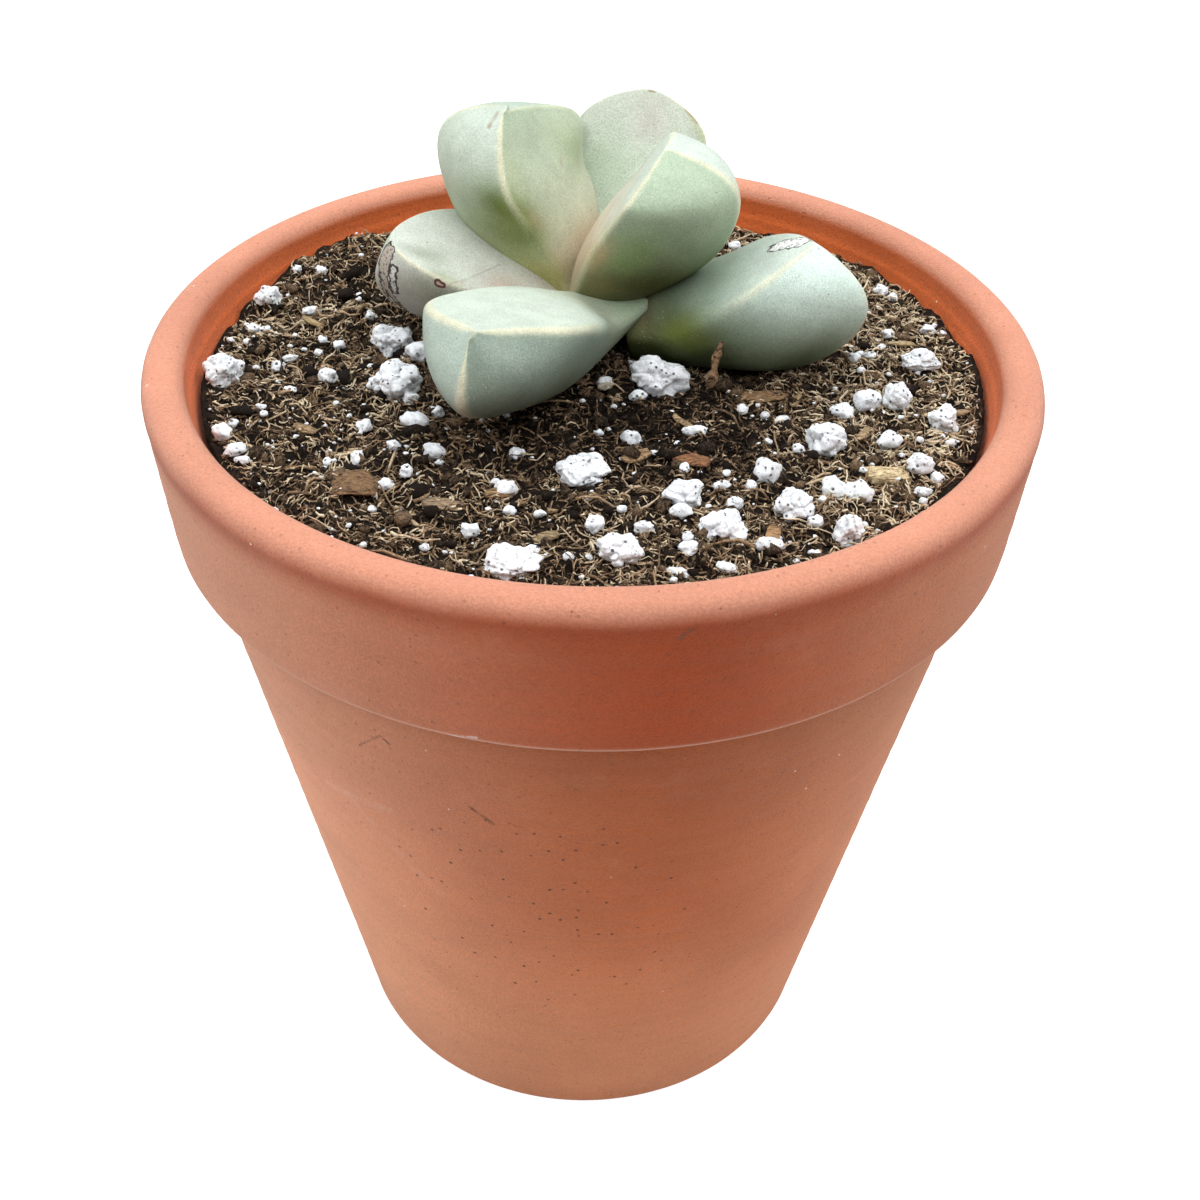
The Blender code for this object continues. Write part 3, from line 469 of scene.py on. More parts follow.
class Finish:
    """Material made step by step, in the piece's own coordinates in millimetres."""

    def __init__(self, name, roughness, specular, sockets=None):
        self.material = bpy.data.materials.new(name)
        self.material.use_nodes = True
        self.tree = self.material.node_tree
        self.shader = self.tree.nodes["Principled BSDF"]
        constants = {"Roughness": roughness, "Specular IOR Level": specular, **(sockets or {})}
        for socket, value in constants.items():
            self.shader.inputs[socket].default_value = value
        place = self.node("ShaderNodeTexCoord").outputs["Object"]
        self.place = self.vector("SCALE", place, 1 / MM)
        self.relief = None

    def node(self, kind, inputs=None, **settings):
        """New node with its settings and inputs."""
        made = self.tree.nodes.new(kind)
        for key, value in settings.items():
            setattr(made, key, value)
        for key, value in (inputs or {}).items():
            self.link(value, made.inputs[key])
        return made

    def link(self, source, socket):
        """Join two sockets, or set a socket's own value."""
        if isinstance(source, bpy.types.NodeSocket):
            self.tree.links.new(source, socket)
        elif socket.type == "RGBA":
            socket.default_value = (*source, 1.0)
        else:
            socket.default_value = source

    def vector(self, operation, first, second=None):
        """Arithmetic on vectors, which gives a vector or, for some operations, a value."""
        made = self.node("ShaderNodeVectorMath", {0: first}, operation=operation)
        if second is not None:
            self.link(second, made.inputs["Scale" if operation == "SCALE" else 1])
        measured = operation in ("LENGTH", "DISTANCE", "DOT_PRODUCT")
        return made.outputs["Value" if measured else "Vector"]

    def value(self, operation, first, second):
        """Arithmetic on two values."""
        return self.node("ShaderNodeMath", {0: first, 1: second}, operation=operation).outputs[0]

    def times(self, first, second):
        """Product of two values."""
        return self.value("MULTIPLY", first, second)

    def minus(self, first, second):
        """Difference of two values."""
        return self.value("SUBTRACT", first, second)

    def plus(self, first, second):
        """Sum of two values."""
        return self.value("ADD", first, second)

    def stretched(self, scale=(1.0, 1.0, 1.0), shift=(0.0, 0.0, 0.0)):
        """Place with another scale along each axis, shifted."""
        inputs = {"Vector": self.place, "Scale": scale, "Location": shift}
        return self.node("ShaderNodeMapping", inputs).outputs[0]

    def noise(self, scale, detail=3.0, rough=0.5, distortion=0.0, place=None):
        """Soft noise from 0 to 1; scale is in bumps to the millimetre."""
        inputs = {"Vector": place or self.place, "Scale": scale, "Detail": detail,
                  "Roughness": rough, "Distortion": distortion}
        return self.node("ShaderNodeTexNoise", inputs).outputs["Fac"]

    def cells(self, scale, place=None):
        """Distance from the nearest scattered point, and that point's own random value."""
        made = self.node("ShaderNodeTexVoronoi", {"Vector": place or self.place, "Scale": scale})
        split = self.node("ShaderNodeSeparateColor", {0: made.outputs["Color"]})
        return made.outputs["Distance"], split.outputs[0]

    def ease(self, value, low, high):
        """Smooth step of a value from 0 at low to 1 at high, whichever of the two is greater."""
        inputs = {"Value": value, "From Min": min(low, high), "From Max": max(low, high)}
        if low > high:
            inputs |= {"To Min": 1.0, "To Max": 0.0}
        return self.node("ShaderNodeMapRange", inputs, interpolation_type="SMOOTHSTEP").outputs["Result"]

    def mix(self, first, second, share):
        """Blend of two colours."""
        return self.node("ShaderNodeMix", {0: share, 6: first, 7: second}, data_type="RGBA").outputs[2]

    def coat(self, colour, paint, *masks):
        """Colour with paint over it, as strong as the product of the masks."""
        cover = masks[0]
        for mask in masks[1:]:
            cover = self.times(cover, mask)
        return self.mix(colour, paint, cover)

    def shade(self, colour, value, low, high):
        """Colour made darker and lighter by a value from 0 to 1."""
        made = self.node("ShaderNodeMapRange", {"Value": value, "To Min": low, "To Max": high})
        return self.vector("SCALE", colour, made.outputs["Result"])

    def specks(self, scale, radius, share, place=None):
        """Mask of small round specks; share is how many of the cells hold one."""
        distance, chance = self.cells(scale, place)
        return self.times(self.ease(distance, radius, radius * 0.55),
                          self.ease(chance, 1.0 - share, 1.0 - share + 0.01))

    def attribute(self, name, output="Fac"):
        """Value or colour stored on the mesh."""
        return self.node("ShaderNodeAttribute", attribute_name=name).outputs[output]

    def ramp(self, value, stops):
        """Colour ramp through (place, colour) stops."""
        made = self.node("ShaderNodeValToRGB", {"Fac": value})
        points = made.color_ramp.elements
        while len(points) < len(stops):
            points.new(0.5)
        for point, (place, colour) in zip(points, stops):
            point.position = place
            point.color = (*colour, 1.0)
        return made.outputs["Color"]

    def bump(self, height, depth):
        """Relief of a depth in millimetres, on top of the relief so far."""
        made = self.node("ShaderNodeBump", {"Distance": depth * MM, "Height": height})
        if self.relief:
            self.link(self.relief, made.inputs["Normal"])
        self.relief = made.outputs["Normal"]

    def blob(self, centre, radius, wobble, scale):
        """Distance from a patch's centre, 1 at its edge, with an uneven outline."""
        offset = self.vector("SUBTRACT", self.place, centre)
        reach = self.vector("LENGTH", self.vector("DIVIDE", offset, (radius, radius, radius)))
        return self.plus(reach, self.times(self.minus(self.noise(scale), 0.5), 2 * wobble))

    def reach(self, start, end):
        """Distance in millimetres from the line between two points."""
        start, end = Vector(start), Vector(end)
        course = end - start
        offset = self.vector("SUBTRACT", self.place, start)
        along = self.vector("DOT_PRODUCT", offset, course / course.length_squared)
        held = self.node("ShaderNodeClamp", {"Value": along}).outputs[0]
        return self.vector("DISTANCE", offset, self.vector("SCALE", course, held))

    def finish(self, colour):
        """Give the shader its colour and relief, and return the material."""
        self.link(colour, self.shader.inputs["Base Color"])
        if self.relief:
            self.link(self.relief, self.shader.inputs["Normal"])
        return self.material


def add_object(name, data):
    """Object of the data, linked to the scene."""
    made = bpy.data.objects.new(name, data)
    bpy.context.scene.collection.objects.link(made)
    return made


def place_piece(piece, slot, *nodes):
    """Set a piece in the frame and hide the solids that it stands for; its slot is not used."""
    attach(piece, "root")
    if nodes:
        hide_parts(*nodes)


def store(mesh, name, values):
    """Value, or colour in linear light, for each point of a mesh."""
    values = np.asarray(values, dtype=np.float32)
    if values.ndim == 1:
        mesh.attributes.new(name, "FLOAT", "POINT").data.foreach_set("value", values)
    else:
        full = np.ones((len(values), 4), dtype=np.float32)
        full[:, :3] = values
        mesh.attributes.new(name, "FLOAT_COLOR", "POINT").data.foreach_set("color", full.ravel())


def add_piece(name, points, faces, material, slot, *nodes, **stored):
    """Smooth piece of points in millimetres, placed, with what is stored for each point."""
    mesh = bpy.data.meshes.new(name)
    mesh.from_pydata((np.asarray(points) * MM).tolist(), [], faces)
    mesh.shade_smooth()
    mesh.materials.append(material)
    for key, values in stored.items():
        store(mesh, key, values)
    place_piece(add_object(name, mesh), slot, *nodes)


def circle(radius, sides):
    """Points round a circle."""
    turns = [math.tau * side / sides for side in range(sides)]
    return [(radius * math.cos(turn), radius * math.sin(turn)) for turn in turns]


def scattered(draw, reach):
    """Random place within a reach of the pot's axis."""
    radius = reach * math.sqrt(draw.random())
    turn = draw.uniform(0.0, math.tau)
    return radius * math.cos(turn), radius * math.sin(turn)


# Pot

def round_corner(centre, radius, start, end, steps):
    """Points of a round from one angle to another, both ends included."""
    turns = [math.radians(start + (end - start) * step / steps) for step in range(steps + 1)]
    return [(centre[0] + radius * math.cos(turn), centre[1] + radius * math.sin(turn)) for turn in turns]


def straight(first, last, steps):
    """Points between two ends, without the ends."""
    return [tuple(start + (end - start) * step / steps for start, end in zip(first, last))
            for step in range(1, steps)]


def inner_radius(height, pot):
    """Radius of the pot's inside in millimetres, at a height in millimetres."""
    neck = (pot.height - pot.band_height) / MM
    foot, top = pot.foot_radius / MM, pot.neck_radius / MM
    if height <= neck:
        return foot + (top - foot) * height / neck - pot.wall / MM
    share = (height - neck) / (pot.band_height / MM)
    start = (pot.neck_radius - pot.wall) / MM
    return start + share * ((pot.rim_radius - pot.lip) / MM - start)


def pot_outline(pot):
    """Closed outline of the wall in millimetres, down the outside and up the inside."""
    rim, top, lip = pot.rim_radius / MM, pot.height / MM, pot.lip / MM
    neck_level = (pot.height - pot.band_height) / MM
    neck, foot = pot.neck_radius / MM, pot.foot_radius / MM
    drain, floor = pot.drain_radius / MM, pot.floor / MM
    band_foot = pot.band_foot_radius / MM

    points = round_corner((rim - LIP_ROUND, top - LIP_ROUND), LIP_ROUND, 90, 0, 10)
    edge = round_corner((band_foot - BAND_ROUND, neck_level + BAND_ROUND), BAND_ROUND, 0, -90, 6)
    points += straight(points[-1], edge[0], 34)
    points += edge
    points += [(neck + 0.25, neck_level + 0.02), (neck + 0.05, neck_level - 0.18)]
    sole = round_corner((foot - SOLE_ROUND, SOLE_ROUND), SOLE_ROUND, 0, -90, 6)
    points += straight((neck, neck_level - 0.4), sole[0], 120)
    points += sole
    drain_mouth = (drain + DRAIN_EDGE, 0.0)
    points += straight(sole[-1], drain_mouth, 10)
    points += [drain_mouth, (drain, DRAIN_EDGE), (drain, floor - DRAIN_EDGE), (drain + DRAIN_EDGE, floor)]

    level = floor + FLOOR_ROUND
    corner = round_corner((inner_radius(level, pot) - FLOOR_ROUND, level), FLOOR_ROUND, -90, 0, 5)
    knee = (inner_radius(neck_level, pot), neck_level)
    inside_lip = round_corner((rim - lip + LIP_ROUND, top - LIP_ROUND), LIP_ROUND, 180, 90, 10)
    points += corner + straight(corner[-1], knee, 24) + [knee]
    return points + straight(knee, inside_lip[0], 40) + inside_lip


def turning_lines(radius, level, pot):
    """Small change of the radius where the potter's fingers ran."""
    top = pot.height / MM
    lines = 0.55 * math.sin(level * 2.3) + 0.30 * math.sin(level * 5.1 + 1.0)
    lines += 0.5 * noise.noise(Vector((0.0, 0.0, level * 1.7)))
    grooves = sum(math.exp(-((level - top + drop) / width) ** 2) for drop, width in GROOVES)
    inside = radius < inner_radius(level, pot) + 0.6
    return pot.ripple / MM * (lines + (3.0 * grooves if inside else 0.0))


def clay_finish(pot):
    """Fired clay: mottled, finely grained, with turning lines, pits, pale rubbed edges, painted light on
    the sides and towards the foot, and painted shade under the band.
    """
    clay = Finish("fired_clay", 0.75, 0.25, {"Sheen Weight": 0.14, "Sheen Roughness": 0.45})
    split = clay.node("ShaderNodeSeparateXYZ", {0: clay.place})
    side, level = split.outputs["X"], split.outputs["Z"]
    radius = clay.vector("LENGTH", clay.vector("MULTIPLY", clay.place, (1.0, 1.0, 0.0)))
    top = pot.height / MM
    neck = (pot.height - pot.band_height) / MM

    wavy = clay.plus(level, clay.noise(0.10, 2.0))
    colour = clay.mix(tuple(pot.body), tuple(pot.band), clay.ease(level, neck - 1.0, neck + 1.5))
    colour = clay.mix(colour, tuple(pot.rim), clay.ease(wavy, top - 1.7, top + 0.1))
    # Radius without the wall's slope, which parts the inside from the outside
    upright = clay.minus(radius, clay.times(level, WALL_SLOPE))
    within, without = WALL_MIDDLE
    colour = clay.coat(colour, tuple(pot.inside), clay.ease(upright, without, within),
                       clay.ease(level, top - 0.6, top - 1.6))

    outer = clay.times(clay.ease(level, top - 0.8, top - 5.0), clay.ease(upright, within, without))
    # Painted light: the outside is made paler towards the left, and towards the right and the foot, where
    # light falls on the pot
    colour = clay.coat(colour, LEFT_PAINTED_LIGHT, clay.times(clay.ease(side, *LEFT_LIGHT_SPAN), outer), 0.76)
    painted_light = clay.value("MAXIMUM", clay.ease(side, *RIGHT_LIGHT_SPAN), clay.ease(level, neck - 20.0, 8.0))
    colour = clay.coat(colour, RIGHT_PAINTED_LIGHT, painted_light, outer, 0.52)
    # Painted shade just under the band, which keeps off the light from above, and painted light towards
    # the foot
    colour = clay.shade(colour, clay.ease(level, neck - 2.0, neck - 34.0), 0.88, 1.12)
    colour = clay.shade(colour, clay.ease(clay.noise(0.06, 4.0, 0.55), 0.30, 0.70), 0.93, 1.07)
    lines = clay.noise(1.0, 4.0, 0.6, place=clay.stretched((0.03, 0.03, 1.1)))
    colour = clay.shade(colour, clay.ease(lines, 0.30, 0.70), 0.98, 1.02)
    chalk = clay.ease(clay.noise(0.11, 5.0, 0.7), 0.52, 0.80)
    colour = clay.coat(colour, CHALK, chalk, 0.10)
    stain = clay.noise(0.09, 3.0, 0.6, place=clay.stretched(shift=(31, 7, 2)))
    colour = clay.coat(colour, STAIN, clay.ease(stain, 0.58, 0.72), 0.12)
    grain = clay.ease(clay.noise(4.2, 3.0, 0.75), 0.32, 0.68)
    colour = clay.shade(colour, grain, 0.87, 1.10)

    colour = clay.coat(colour, RUBBED, clay.ease(level, neck - 0.15, neck + 0.10),
                       clay.ease(level, neck + 0.75, neck + 0.20), 0.60)
    patch = clay.ease(clay.blob(PITTED_PLACE, PITTED_REACH, 0.3, 0.08), 1.1, 0.6)
    pits = clay.times(clay.specks(0.80, 0.15, 0.70), clay.value("MAXIMUM", patch, 0.30))
    colour = clay.coat(colour, PIT, pits, 0.90)
    crowd = clay.value("MAXIMUM", clay.ease(clay.noise(0.16, 2.0), 0.42, 0.60), 0.3)
    colour = clay.coat(colour, FINE_PIT, clay.specks(1.3, 0.17, 0.34), crowd, 0.75)
    salt = clay.specks(0.7, 0.10, 0.05, place=clay.stretched(shift=(7.3, 2.1, 4.4)))
    colour = clay.coat(colour, SALT, salt, 0.75)
    ragged = clay.ease(clay.noise(1.9, 4.0, 0.8), 0.38, 0.56)
    for start, end, width, paint, strength in CLAY_MARKS:
        scratch = clay.ease(clay.reach(start, end), width, width * 0.15)
        colour = clay.coat(colour, paint, scratch, ragged, strength)
    clay.bump(lines, 0.02)
    clay.bump(grain, 0.035)
    clay.bump(clay.minus(1.0, pits), 0.10)
    return clay.finish(colour)


def make_pot(pot):
    """Turned clay pot."""
    points = [((radius + turning_lines(radius, level, pot)) * MM, 0.0, level * MM)
              for radius, level in pot_outline(pot)]
    edges = [(index, (index + 1) % len(points)) for index in range(len(points))]
    outline = bpy.data.meshes.new("clay_pot")
    outline.from_pydata(points, edges, [])
    piece = add_object("clay_pot", outline)
    screw = piece.modifiers.new("turn", "SCREW")
    screw.angle = math.tau
    screw.steps = screw.render_steps = POT_SIDES
    screw.use_merge_vertices = True
    screw.merge_threshold = 0.00001
    depsgraph = bpy.context.evaluated_depsgraph_get()
    turned = bpy.data.meshes.new_from_object(piece.evaluated_get(depsgraph))
    turned.name = "clay_pot"
    piece.modifiers.clear()
    piece.data = turned
    # The fired pot is a little out of round
    for vertex in turned.vertices:
        place = vertex.co / MM
        uneven = 0.05 * noise.noise(place / 14.0) + 0.02 * noise.noise(place / 3.0)
        vertex.co.xy *= 1 + uneven * MM / pot.rim_radius
    turned.shade_smooth()
    turned.set_sharp_from_angle(angle=math.radians(40))
    turned.materials.clear()
    turned.materials.append(clay_finish(pot))
    place_piece(piece, "clay", "pot")


# Soil

def soil_level(x, y, soil):
    """Height of the soil's gentle shape in millimetres, as in the solid."""
    pot = bpy.context.scene.karoo_pot
    level = soil.level / MM
    reach = abs(x) / inner_radius(level, pot)
    mound = math.hypot(x - MOUND_PLACE[0], y - MOUND_PLACE[1]) / MOUND_REACH
    place = Vector((x, y, 0.0)) / 5.0
    lumps = noise.noise(place) + 0.6 * noise.noise(place * 2.3)
    return level + 0.5 * reach ** 4 + 1.6 * math.exp(-mound ** 2) + 0.8 * lumps


def ground(x, y, soil):
    """Height of the peat's crumbly surface in millimetres."""
    place = Vector((x, y, 3.0))
    rough = 0.40 * noise.noise(place * 0.7) + 0.30 * noise.noise(place * 1.7)
    return soil_level(x, y, soil) - 0.15 + rough + 0.16 * noise.noise(place * 3.9)


def peat_finish(soil):
    """Matte peat whose shade is stored on the mesh."""
    peat = Finish("peat", 0.95, 0.15)
    speckle = peat.minus(peat.ease(peat.noise(3.4, 4.0, 0.75, 0.8), 0.30, 0.70), 0.5)
    tone = peat.plus(peat.attribute("shade"), peat.times(speckle, 0.26))
    dark, tan, straw = tuple(soil.dark), tuple(soil.tan), tuple(soil.straw)
    black = tuple(0.4 * part for part in dark)
    brown = tuple(0.60 * a + 0.40 * b for a, b in zip(dark, tan))
    colour = peat.ramp(tone, ((0.0, black), (0.22, dark), (0.42, brown), (0.68, tan), (1.0, straw)))
    peat.bump(peat.noise(3.5, 4.0, 0.7), 0.15)
    return peat.finish(colour)


def make_soil(soil, pot, material):
    """Body of peat that fills the pot, with an uneven crumbly top."""
    rings, sides = 110, 270
    neck = (pot.height - pot.band_height) / MM
    low = pot.floor / MM + 0.3
    reach = inner_radius(soil.level / MM, pot) - 0.25
    points = [(0.0, 0.0, ground(0.0, 0.0, soil))]
    for ring in range(1, rings + 1):
        points += [(x, y, ground(x, y, soil)) for x, y in circle(reach * ring / rings, sides)]
    for height, inset in ((neck, 0.35), (low + 2.0, 0.35), (low, 2.2)):
        points += [(x, y, height) for x, y in circle(inner_radius(height, pot) - inset, sides)]
    points.append((0.0, 0.0, low))

    faces = [(0, 1 + side, 1 + (side + 1) % sides) for side in range(sides)]
    last = 1 + (rings + 2) * sides
    for start in range(1, last, sides):
        for side in range(sides):
            following = (side + 1) % sides
            faces.append((start + side, start + sides + side, start + sides + following,
                          start + following))
    faces += [(last + side, len(points) - 1, last + (side + 1) % sides) for side in range(sides)]
    shades = [0.14 + 0.10 * noise.noise(Vector(point) * 0.5) + 0.16 * noise.noise(Vector(point) * 2.9)
              for point in points]
    add_piece("peat_body", points, faces, material, "peat", "soil", shade=shades)


class Obstacles:
    """Leaves and large grains that loose grains and fibres keep clear of."""

    def __init__(self, *starts):
        self.trees = []
        for item in bpy.data.objects:
            if item.name.startswith(starts):
                corners = [vertex.co.copy() for vertex in item.data.vertices]
                faces = [tuple(face.vertices) for face in item.data.polygons]
                self.trees.append(BVHTree.FromPolygons(corners, faces))

    def clear(self, point, reach):
        """Whether a point in millimetres is outside every leaf and grain by a reach."""
        place = Vector(point) * MM
        for tree in self.trees:
            if tree.find_nearest(place, reach * MM)[0] is not None or is_inside(tree, place):
                return False
        return True


def is_inside(tree, place):
    """Whether an upward ray from a place passes an odd number of faces."""
    crossings = 0
    while crossings < MOST_CROSSINGS:
        place = tree.ray_cast(place, UP, RAY_REACH)[0]
        if place is None:
            break
        crossings += 1
        place = place + UP * RAY_STEP
    return crossings % 2 == 1


def shade_and_damp(x, y):
    """How much darker the peat is made: painted shade and moisture under and in front of the plant, paler
    towards the right side, and random patches.
    """
    near = math.exp(-((x - SHADED_MOIST_PLACE[0]) / SHADED_MOIST_REACH[0]) ** 2
                    - ((y - SHADED_MOIST_PLACE[1]) / SHADED_MOIST_REACH[1]) ** 2)
    # The peat is made paler towards the right side
    dry = 0.5 + 0.5 * math.tanh((x - PALE_SIDE_FROM) / 6.0)
    return 0.38 * near - 0.22 * dry + 0.22 * noise.noise(Vector((x / 4.0, y / 4.0, 9.0)))


def fibre_line(draw, soil, pot, obstacles, stout):
    """Centre line and thickness of one fibre on the soil, or None where it doesn't fit."""
    reach = inner_radius(soil.level / MM, pot) - 0.7
    x, y = scattered(draw, reach)
    size = min(draw.lognormvariate(0.9 if stout else -0.15, 0.45), 4.5)
    heading = draw.uniform(0.0, math.tau)
    bend = draw.gauss(0.0, 1.7) / max(size, 0.6)
    lift = draw.uniform(0.0, 0.34)
    arch = draw.uniform(-0.15, 0.40) * size * 0.35
    tilt = draw.gauss(0.0, 0.20)
    thick = draw.uniform(0.05, 0.105) * (2.0 if stout else 1.0)
    stride = size / (FIBRE_POINTS - 1)
    line = []
    for point in range(FIBRE_POINTS):
        share = point / (FIBRE_POINTS - 1)
        line.append((x, y, ground(x, y, soil) + lift + arch * math.sin(math.pi * share)
                     + tilt * size * (share - 0.3), thick * (1.0 - 0.55 * share ** 2)))
        x += stride * math.cos(heading)
        y += stride * math.sin(heading)
        heading += bend * stride
        if math.hypot(x, y) > reach + 0.35:
            return None
    return line if obstacles.clear(line[1][:3], 0.12) else None


def ring_faces(rings, sides, start=0):
    """Faces between rings of points, each ring stored after the one before."""
    faces = []
    for low in range(start, start + (rings - 1) * sides, sides):
        high = low + sides
        for side in range(sides):
            following = (side + 1) % sides
            faces.append((low + side, low + following, high + following, high + side))
    return faces


def tube_faces(rings, sides, start=0):
    """Faces of a closed tube of rings."""
    first, last = range(start, start + sides), start + (rings - 1) * sides
    return [*ring_faces(rings, sides, start), tuple(reversed(first)), tuple(range(last, last + sides))]


def tube_points(line, sides):
    """Points of a tube round a centre line of (x, y, z, radius)."""
    points = []
    for index, (x, y, z, thick) in enumerate(line):
        before = Vector(line[max(index - 1, 0)][:3])
        after = Vector(line[min(index + 1, len(line) - 1)][:3])
        course = (after - before).normalized()
        across = course.cross(UP).normalized()
        up = across.cross(course)
        for side in range(sides):
            turn = math.tau * side / sides + math.pi / 2
            offset = across * math.cos(turn) + up * math.sin(turn)
            points.append(Vector((x, y, z)) + offset * thick)
    return points


def make_fibres(name, total, seed, tones, stout, soil, pot, obstacles, material):
    """Loose peat fibres strewn over the soil; tones are the middle and spread of their shade."""
    draw = random.Random(seed)
    points, faces, shades = [], [], []
    for _ in range(total):
        line = fibre_line(draw, soil, pot, obstacles, stout)
        if line is None:
            continue
        faces += tube_faces(len(line), FIBRE_SIDES, len(points))
        points += tube_points(line, FIBRE_SIDES)
        # The tone takes in the painted shade under the plant
        tone = min(max(draw.gauss(*tones) - shade_and_damp(*line[0][:2]), 0.08), 1.05)
        shades += [tone] * (FIBRE_SIDES * len(line))
    add_piece(name, points, faces, material, "peat", shade=shades)


def ball(fineness):
    """Points and faces of an icosphere of radius 1."""
    bm = bmesh.new()
    bmesh.ops.create_icosphere(bm, subdivisions=fineness, radius=1.0)
    points = np.array([vertex.co[:] for vertex in bm.verts])
    faces = [[vertex.index for vertex in face.verts] for face in bm.faces]
    bm.free()
    return points, faces


def make_crumbs(soil, pot, obstacles, material):
    """Small lumps of peat strewn over the soil."""
    draw = random.Random(CRUMB_SEED)
    shape, pattern = ball(1)
    reach = inner_radius(soil.level / MM, pot) - 0.9
    points, faces, shades = [], [], []
    for _ in range(soil.crumbs):
        x, y = scattered(draw, reach)
        size = min(draw.lognormvariate(-1.35, 0.5), 0.9)
        z = ground(x, y, soil) + size * 0.35
        if not obstacles.clear((x, y, z), size):
            continue
        scale = np.array([size * draw.uniform(0.8, 1.5), size, size * draw.uniform(0.6, 0.9)])
        rough = 1 + 0.30 * np.array([draw.gauss(0, 1) for _ in range(len(shape))])[:, None]
        lump = spun(shape * rough * scale, draw.uniform(0, math.tau)) + (x, y, z)
        faces += [[index + len(points) for index in face] for face in pattern]
        points += lump.tolist()
        shades += [draw.uniform(0.08, 0.40)] * len(shape)
    add_piece("peat_crumbs", points, faces, material, "peat", shade=shades)


# Perlite

def perlite_finish(perlite):
    """White popped grains with fine pits that hold dark dust."""
    grain = Finish("perlite", 0.9, 0.3)
    dust = tuple(perlite.dust)
    mottle = grain.ease(grain.noise(2.6, 5.0, 0.8), 0.3, 0.7)
    colour = grain.shade(tuple(perlite.colour), mottle, 0.86, 1.08)
    colour = grain.coat(colour, dust, grain.attribute("pit"), 0.42)
    worn = grain.ease(grain.noise(0.9, 2.0), 0.36, 0.56)
    big = grain.times(grain.specks(1.9, 0.32, 0.55), worn)
    colour = grain.coat(colour, dust, big, 0.92)
    colour = grain.coat(colour, FINE_DUST, grain.specks(3.4, 0.28, 0.34), 0.80)
    grain.bump(grain.noise(3.0, 5.0, 0.75), 0.20)
    grain.bump(grain.minus(1.0, big), 0.12)
    return grain.finish(colour)


def fitted(points, size):
    """Points moved to the origin and stretched to a size."""
    grown = np.array(points)
    low, high = grown.min(axis=0), grown.max(axis=0)
    return (grown - (low + high) / 2) / (high - low) * np.array(size)


def popped(shape, size, seed):
    """Lumpy, creased grain from a ball, and how deep each point lies in a crease or pit."""
    offset = Vector((seed * 3.17 % 40, seed * 5.71 % 40, seed * 7.93 % 40))
    widest = max(size)
    coarse = 0.52 + 0.05 * widest
    points, pits = [], []
    for unit in shape:
        place = Vector(unit)
        near = noise.voronoi(place * coarse * 1.5 + offset)[0]
        crease = max(0.0, 1 - (near[1] - near[0]) / 0.26)
        body = 1.0 + 0.38 * noise.noise(place * 1.2 + offset) + 0.16 * noise.noise(place * 2.6 + offset)
        body += 0.07 * noise.noise(place * 5.5 + offset)
        body -= 0.12 * crease ** 1.5
        fine = noise.voronoi(place * 1.6 * widest + offset)[0][0]
        pit = max(0.0, 1 - fine / 0.30) ** 1.5
        body += (0.05 * noise.noise(place * 2.2 * widest + offset) - 0.03 * pit) * 3.0 / (widest + 2.0)
        points.append(place * body)
        pits.append(min(1.0, pit + 0.95 * crease ** 4))
    return fitted(points, size), pits


def spun(points, angle):
    """Points turned about the upright."""
    turn = np.array(Matrix.Rotation(angle, 3, "Z"))
    return points @ turn.T


def make_large_perlite(material):
    """Large grains, each where its solid is."""
    shape, pattern = ball(5)
    for number in range(1, LARGE_GRAINS + 1):
        node = f"perlite_{number:02d}"
        centre, size = node_box(node)
        points, pits = popped(shape, size, number)
        add_piece(f"grain_{number:02d}", points + centre, pattern, material, "perlite", node, pit=pits)


def make_small_perlite(perlite, soil, pot, obstacles, material):
    """Small grains and specks between the large ones."""
    draw = random.Random(SPECK_SEED)
    shapes = {fineness: ball(fineness) for fineness in (1, 2, 3)}
    grains = [(*grain, 0.24) for grain in SMALL_PERLITE]
    reach = inner_radius(soil.level / MM, pot) - 0.8
    for _ in range(perlite.specks):
        x, y = scattered(draw, reach)
        size = min(draw.lognormvariate(-1.05, 0.45), 0.9)
        grains.append((x, y, size, size * 0.8, 0.5))
    points, faces, pits = [], [], []
    for seed, (x, y, wide, deep, lift) in enumerate(grains, start=SMALL_SEED):
        z = ground(x, y, soil) + min(wide, deep) * lift + 0.1
        if math.hypot(x, y) > reach - wide * 0.3 or not obstacles.clear((x, y, z), wide * 0.3):
            continue
        shape, pattern = shapes[3 if wide > 1.1 else 2 if wide > 0.45 else 1]
        grown, deepness = popped(shape, (wide, deep, min(wide, deep) * 0.85), seed)
        faces += [[index + len(points) for index in face] for face in pattern]
        points += (spun(grown, draw.gauss(0, 0.3)) + (x, y, z)).tolist()
        pits += deepness
    add_piece("perlite_small", points, faces, material, "perlite", pit=pits)


# Litter

def litter_finish(name, colour, dark):
    """Dry wood or leaf with long darker grain."""
    dry = Finish(name, 0.85, 0.25)
    lines = dry.noise(1.9, 5.0, 0.7, distortion=0.5, place=dry.stretched((0.7, 3.4, 1.6)))
    shaded = dry.mix(colour, dark, dry.ease(lines, 0.46, 0.60))
    dry.bump(lines, 0.18)
    return dry.finish(dry.shade(shaded, dry.ease(dry.noise(3.0), 0.3, 0.7), 0.70, 1.15))


def flake_shape(shape, size, curl, blunt, seed):
    """Thin ragged flake from a ball; blunt below 1 squares it off."""
    points = []
    for unit in shape:
        ragged = 1 + 0.22 * noise.noise(Vector(unit) * 2.4 + Vector((seed * 1.7, 0, 0)))
        x, y, z = (math.copysign(abs(part) ** blunt, part) * ragged for part in unit)
        wave = 0.16 * noise.noise(Vector((x * 2.5, y * 4.0, seed)))
        points.append((x, y, 0.30 * z + curl * x * x + wave))
    return fitted(points, size)


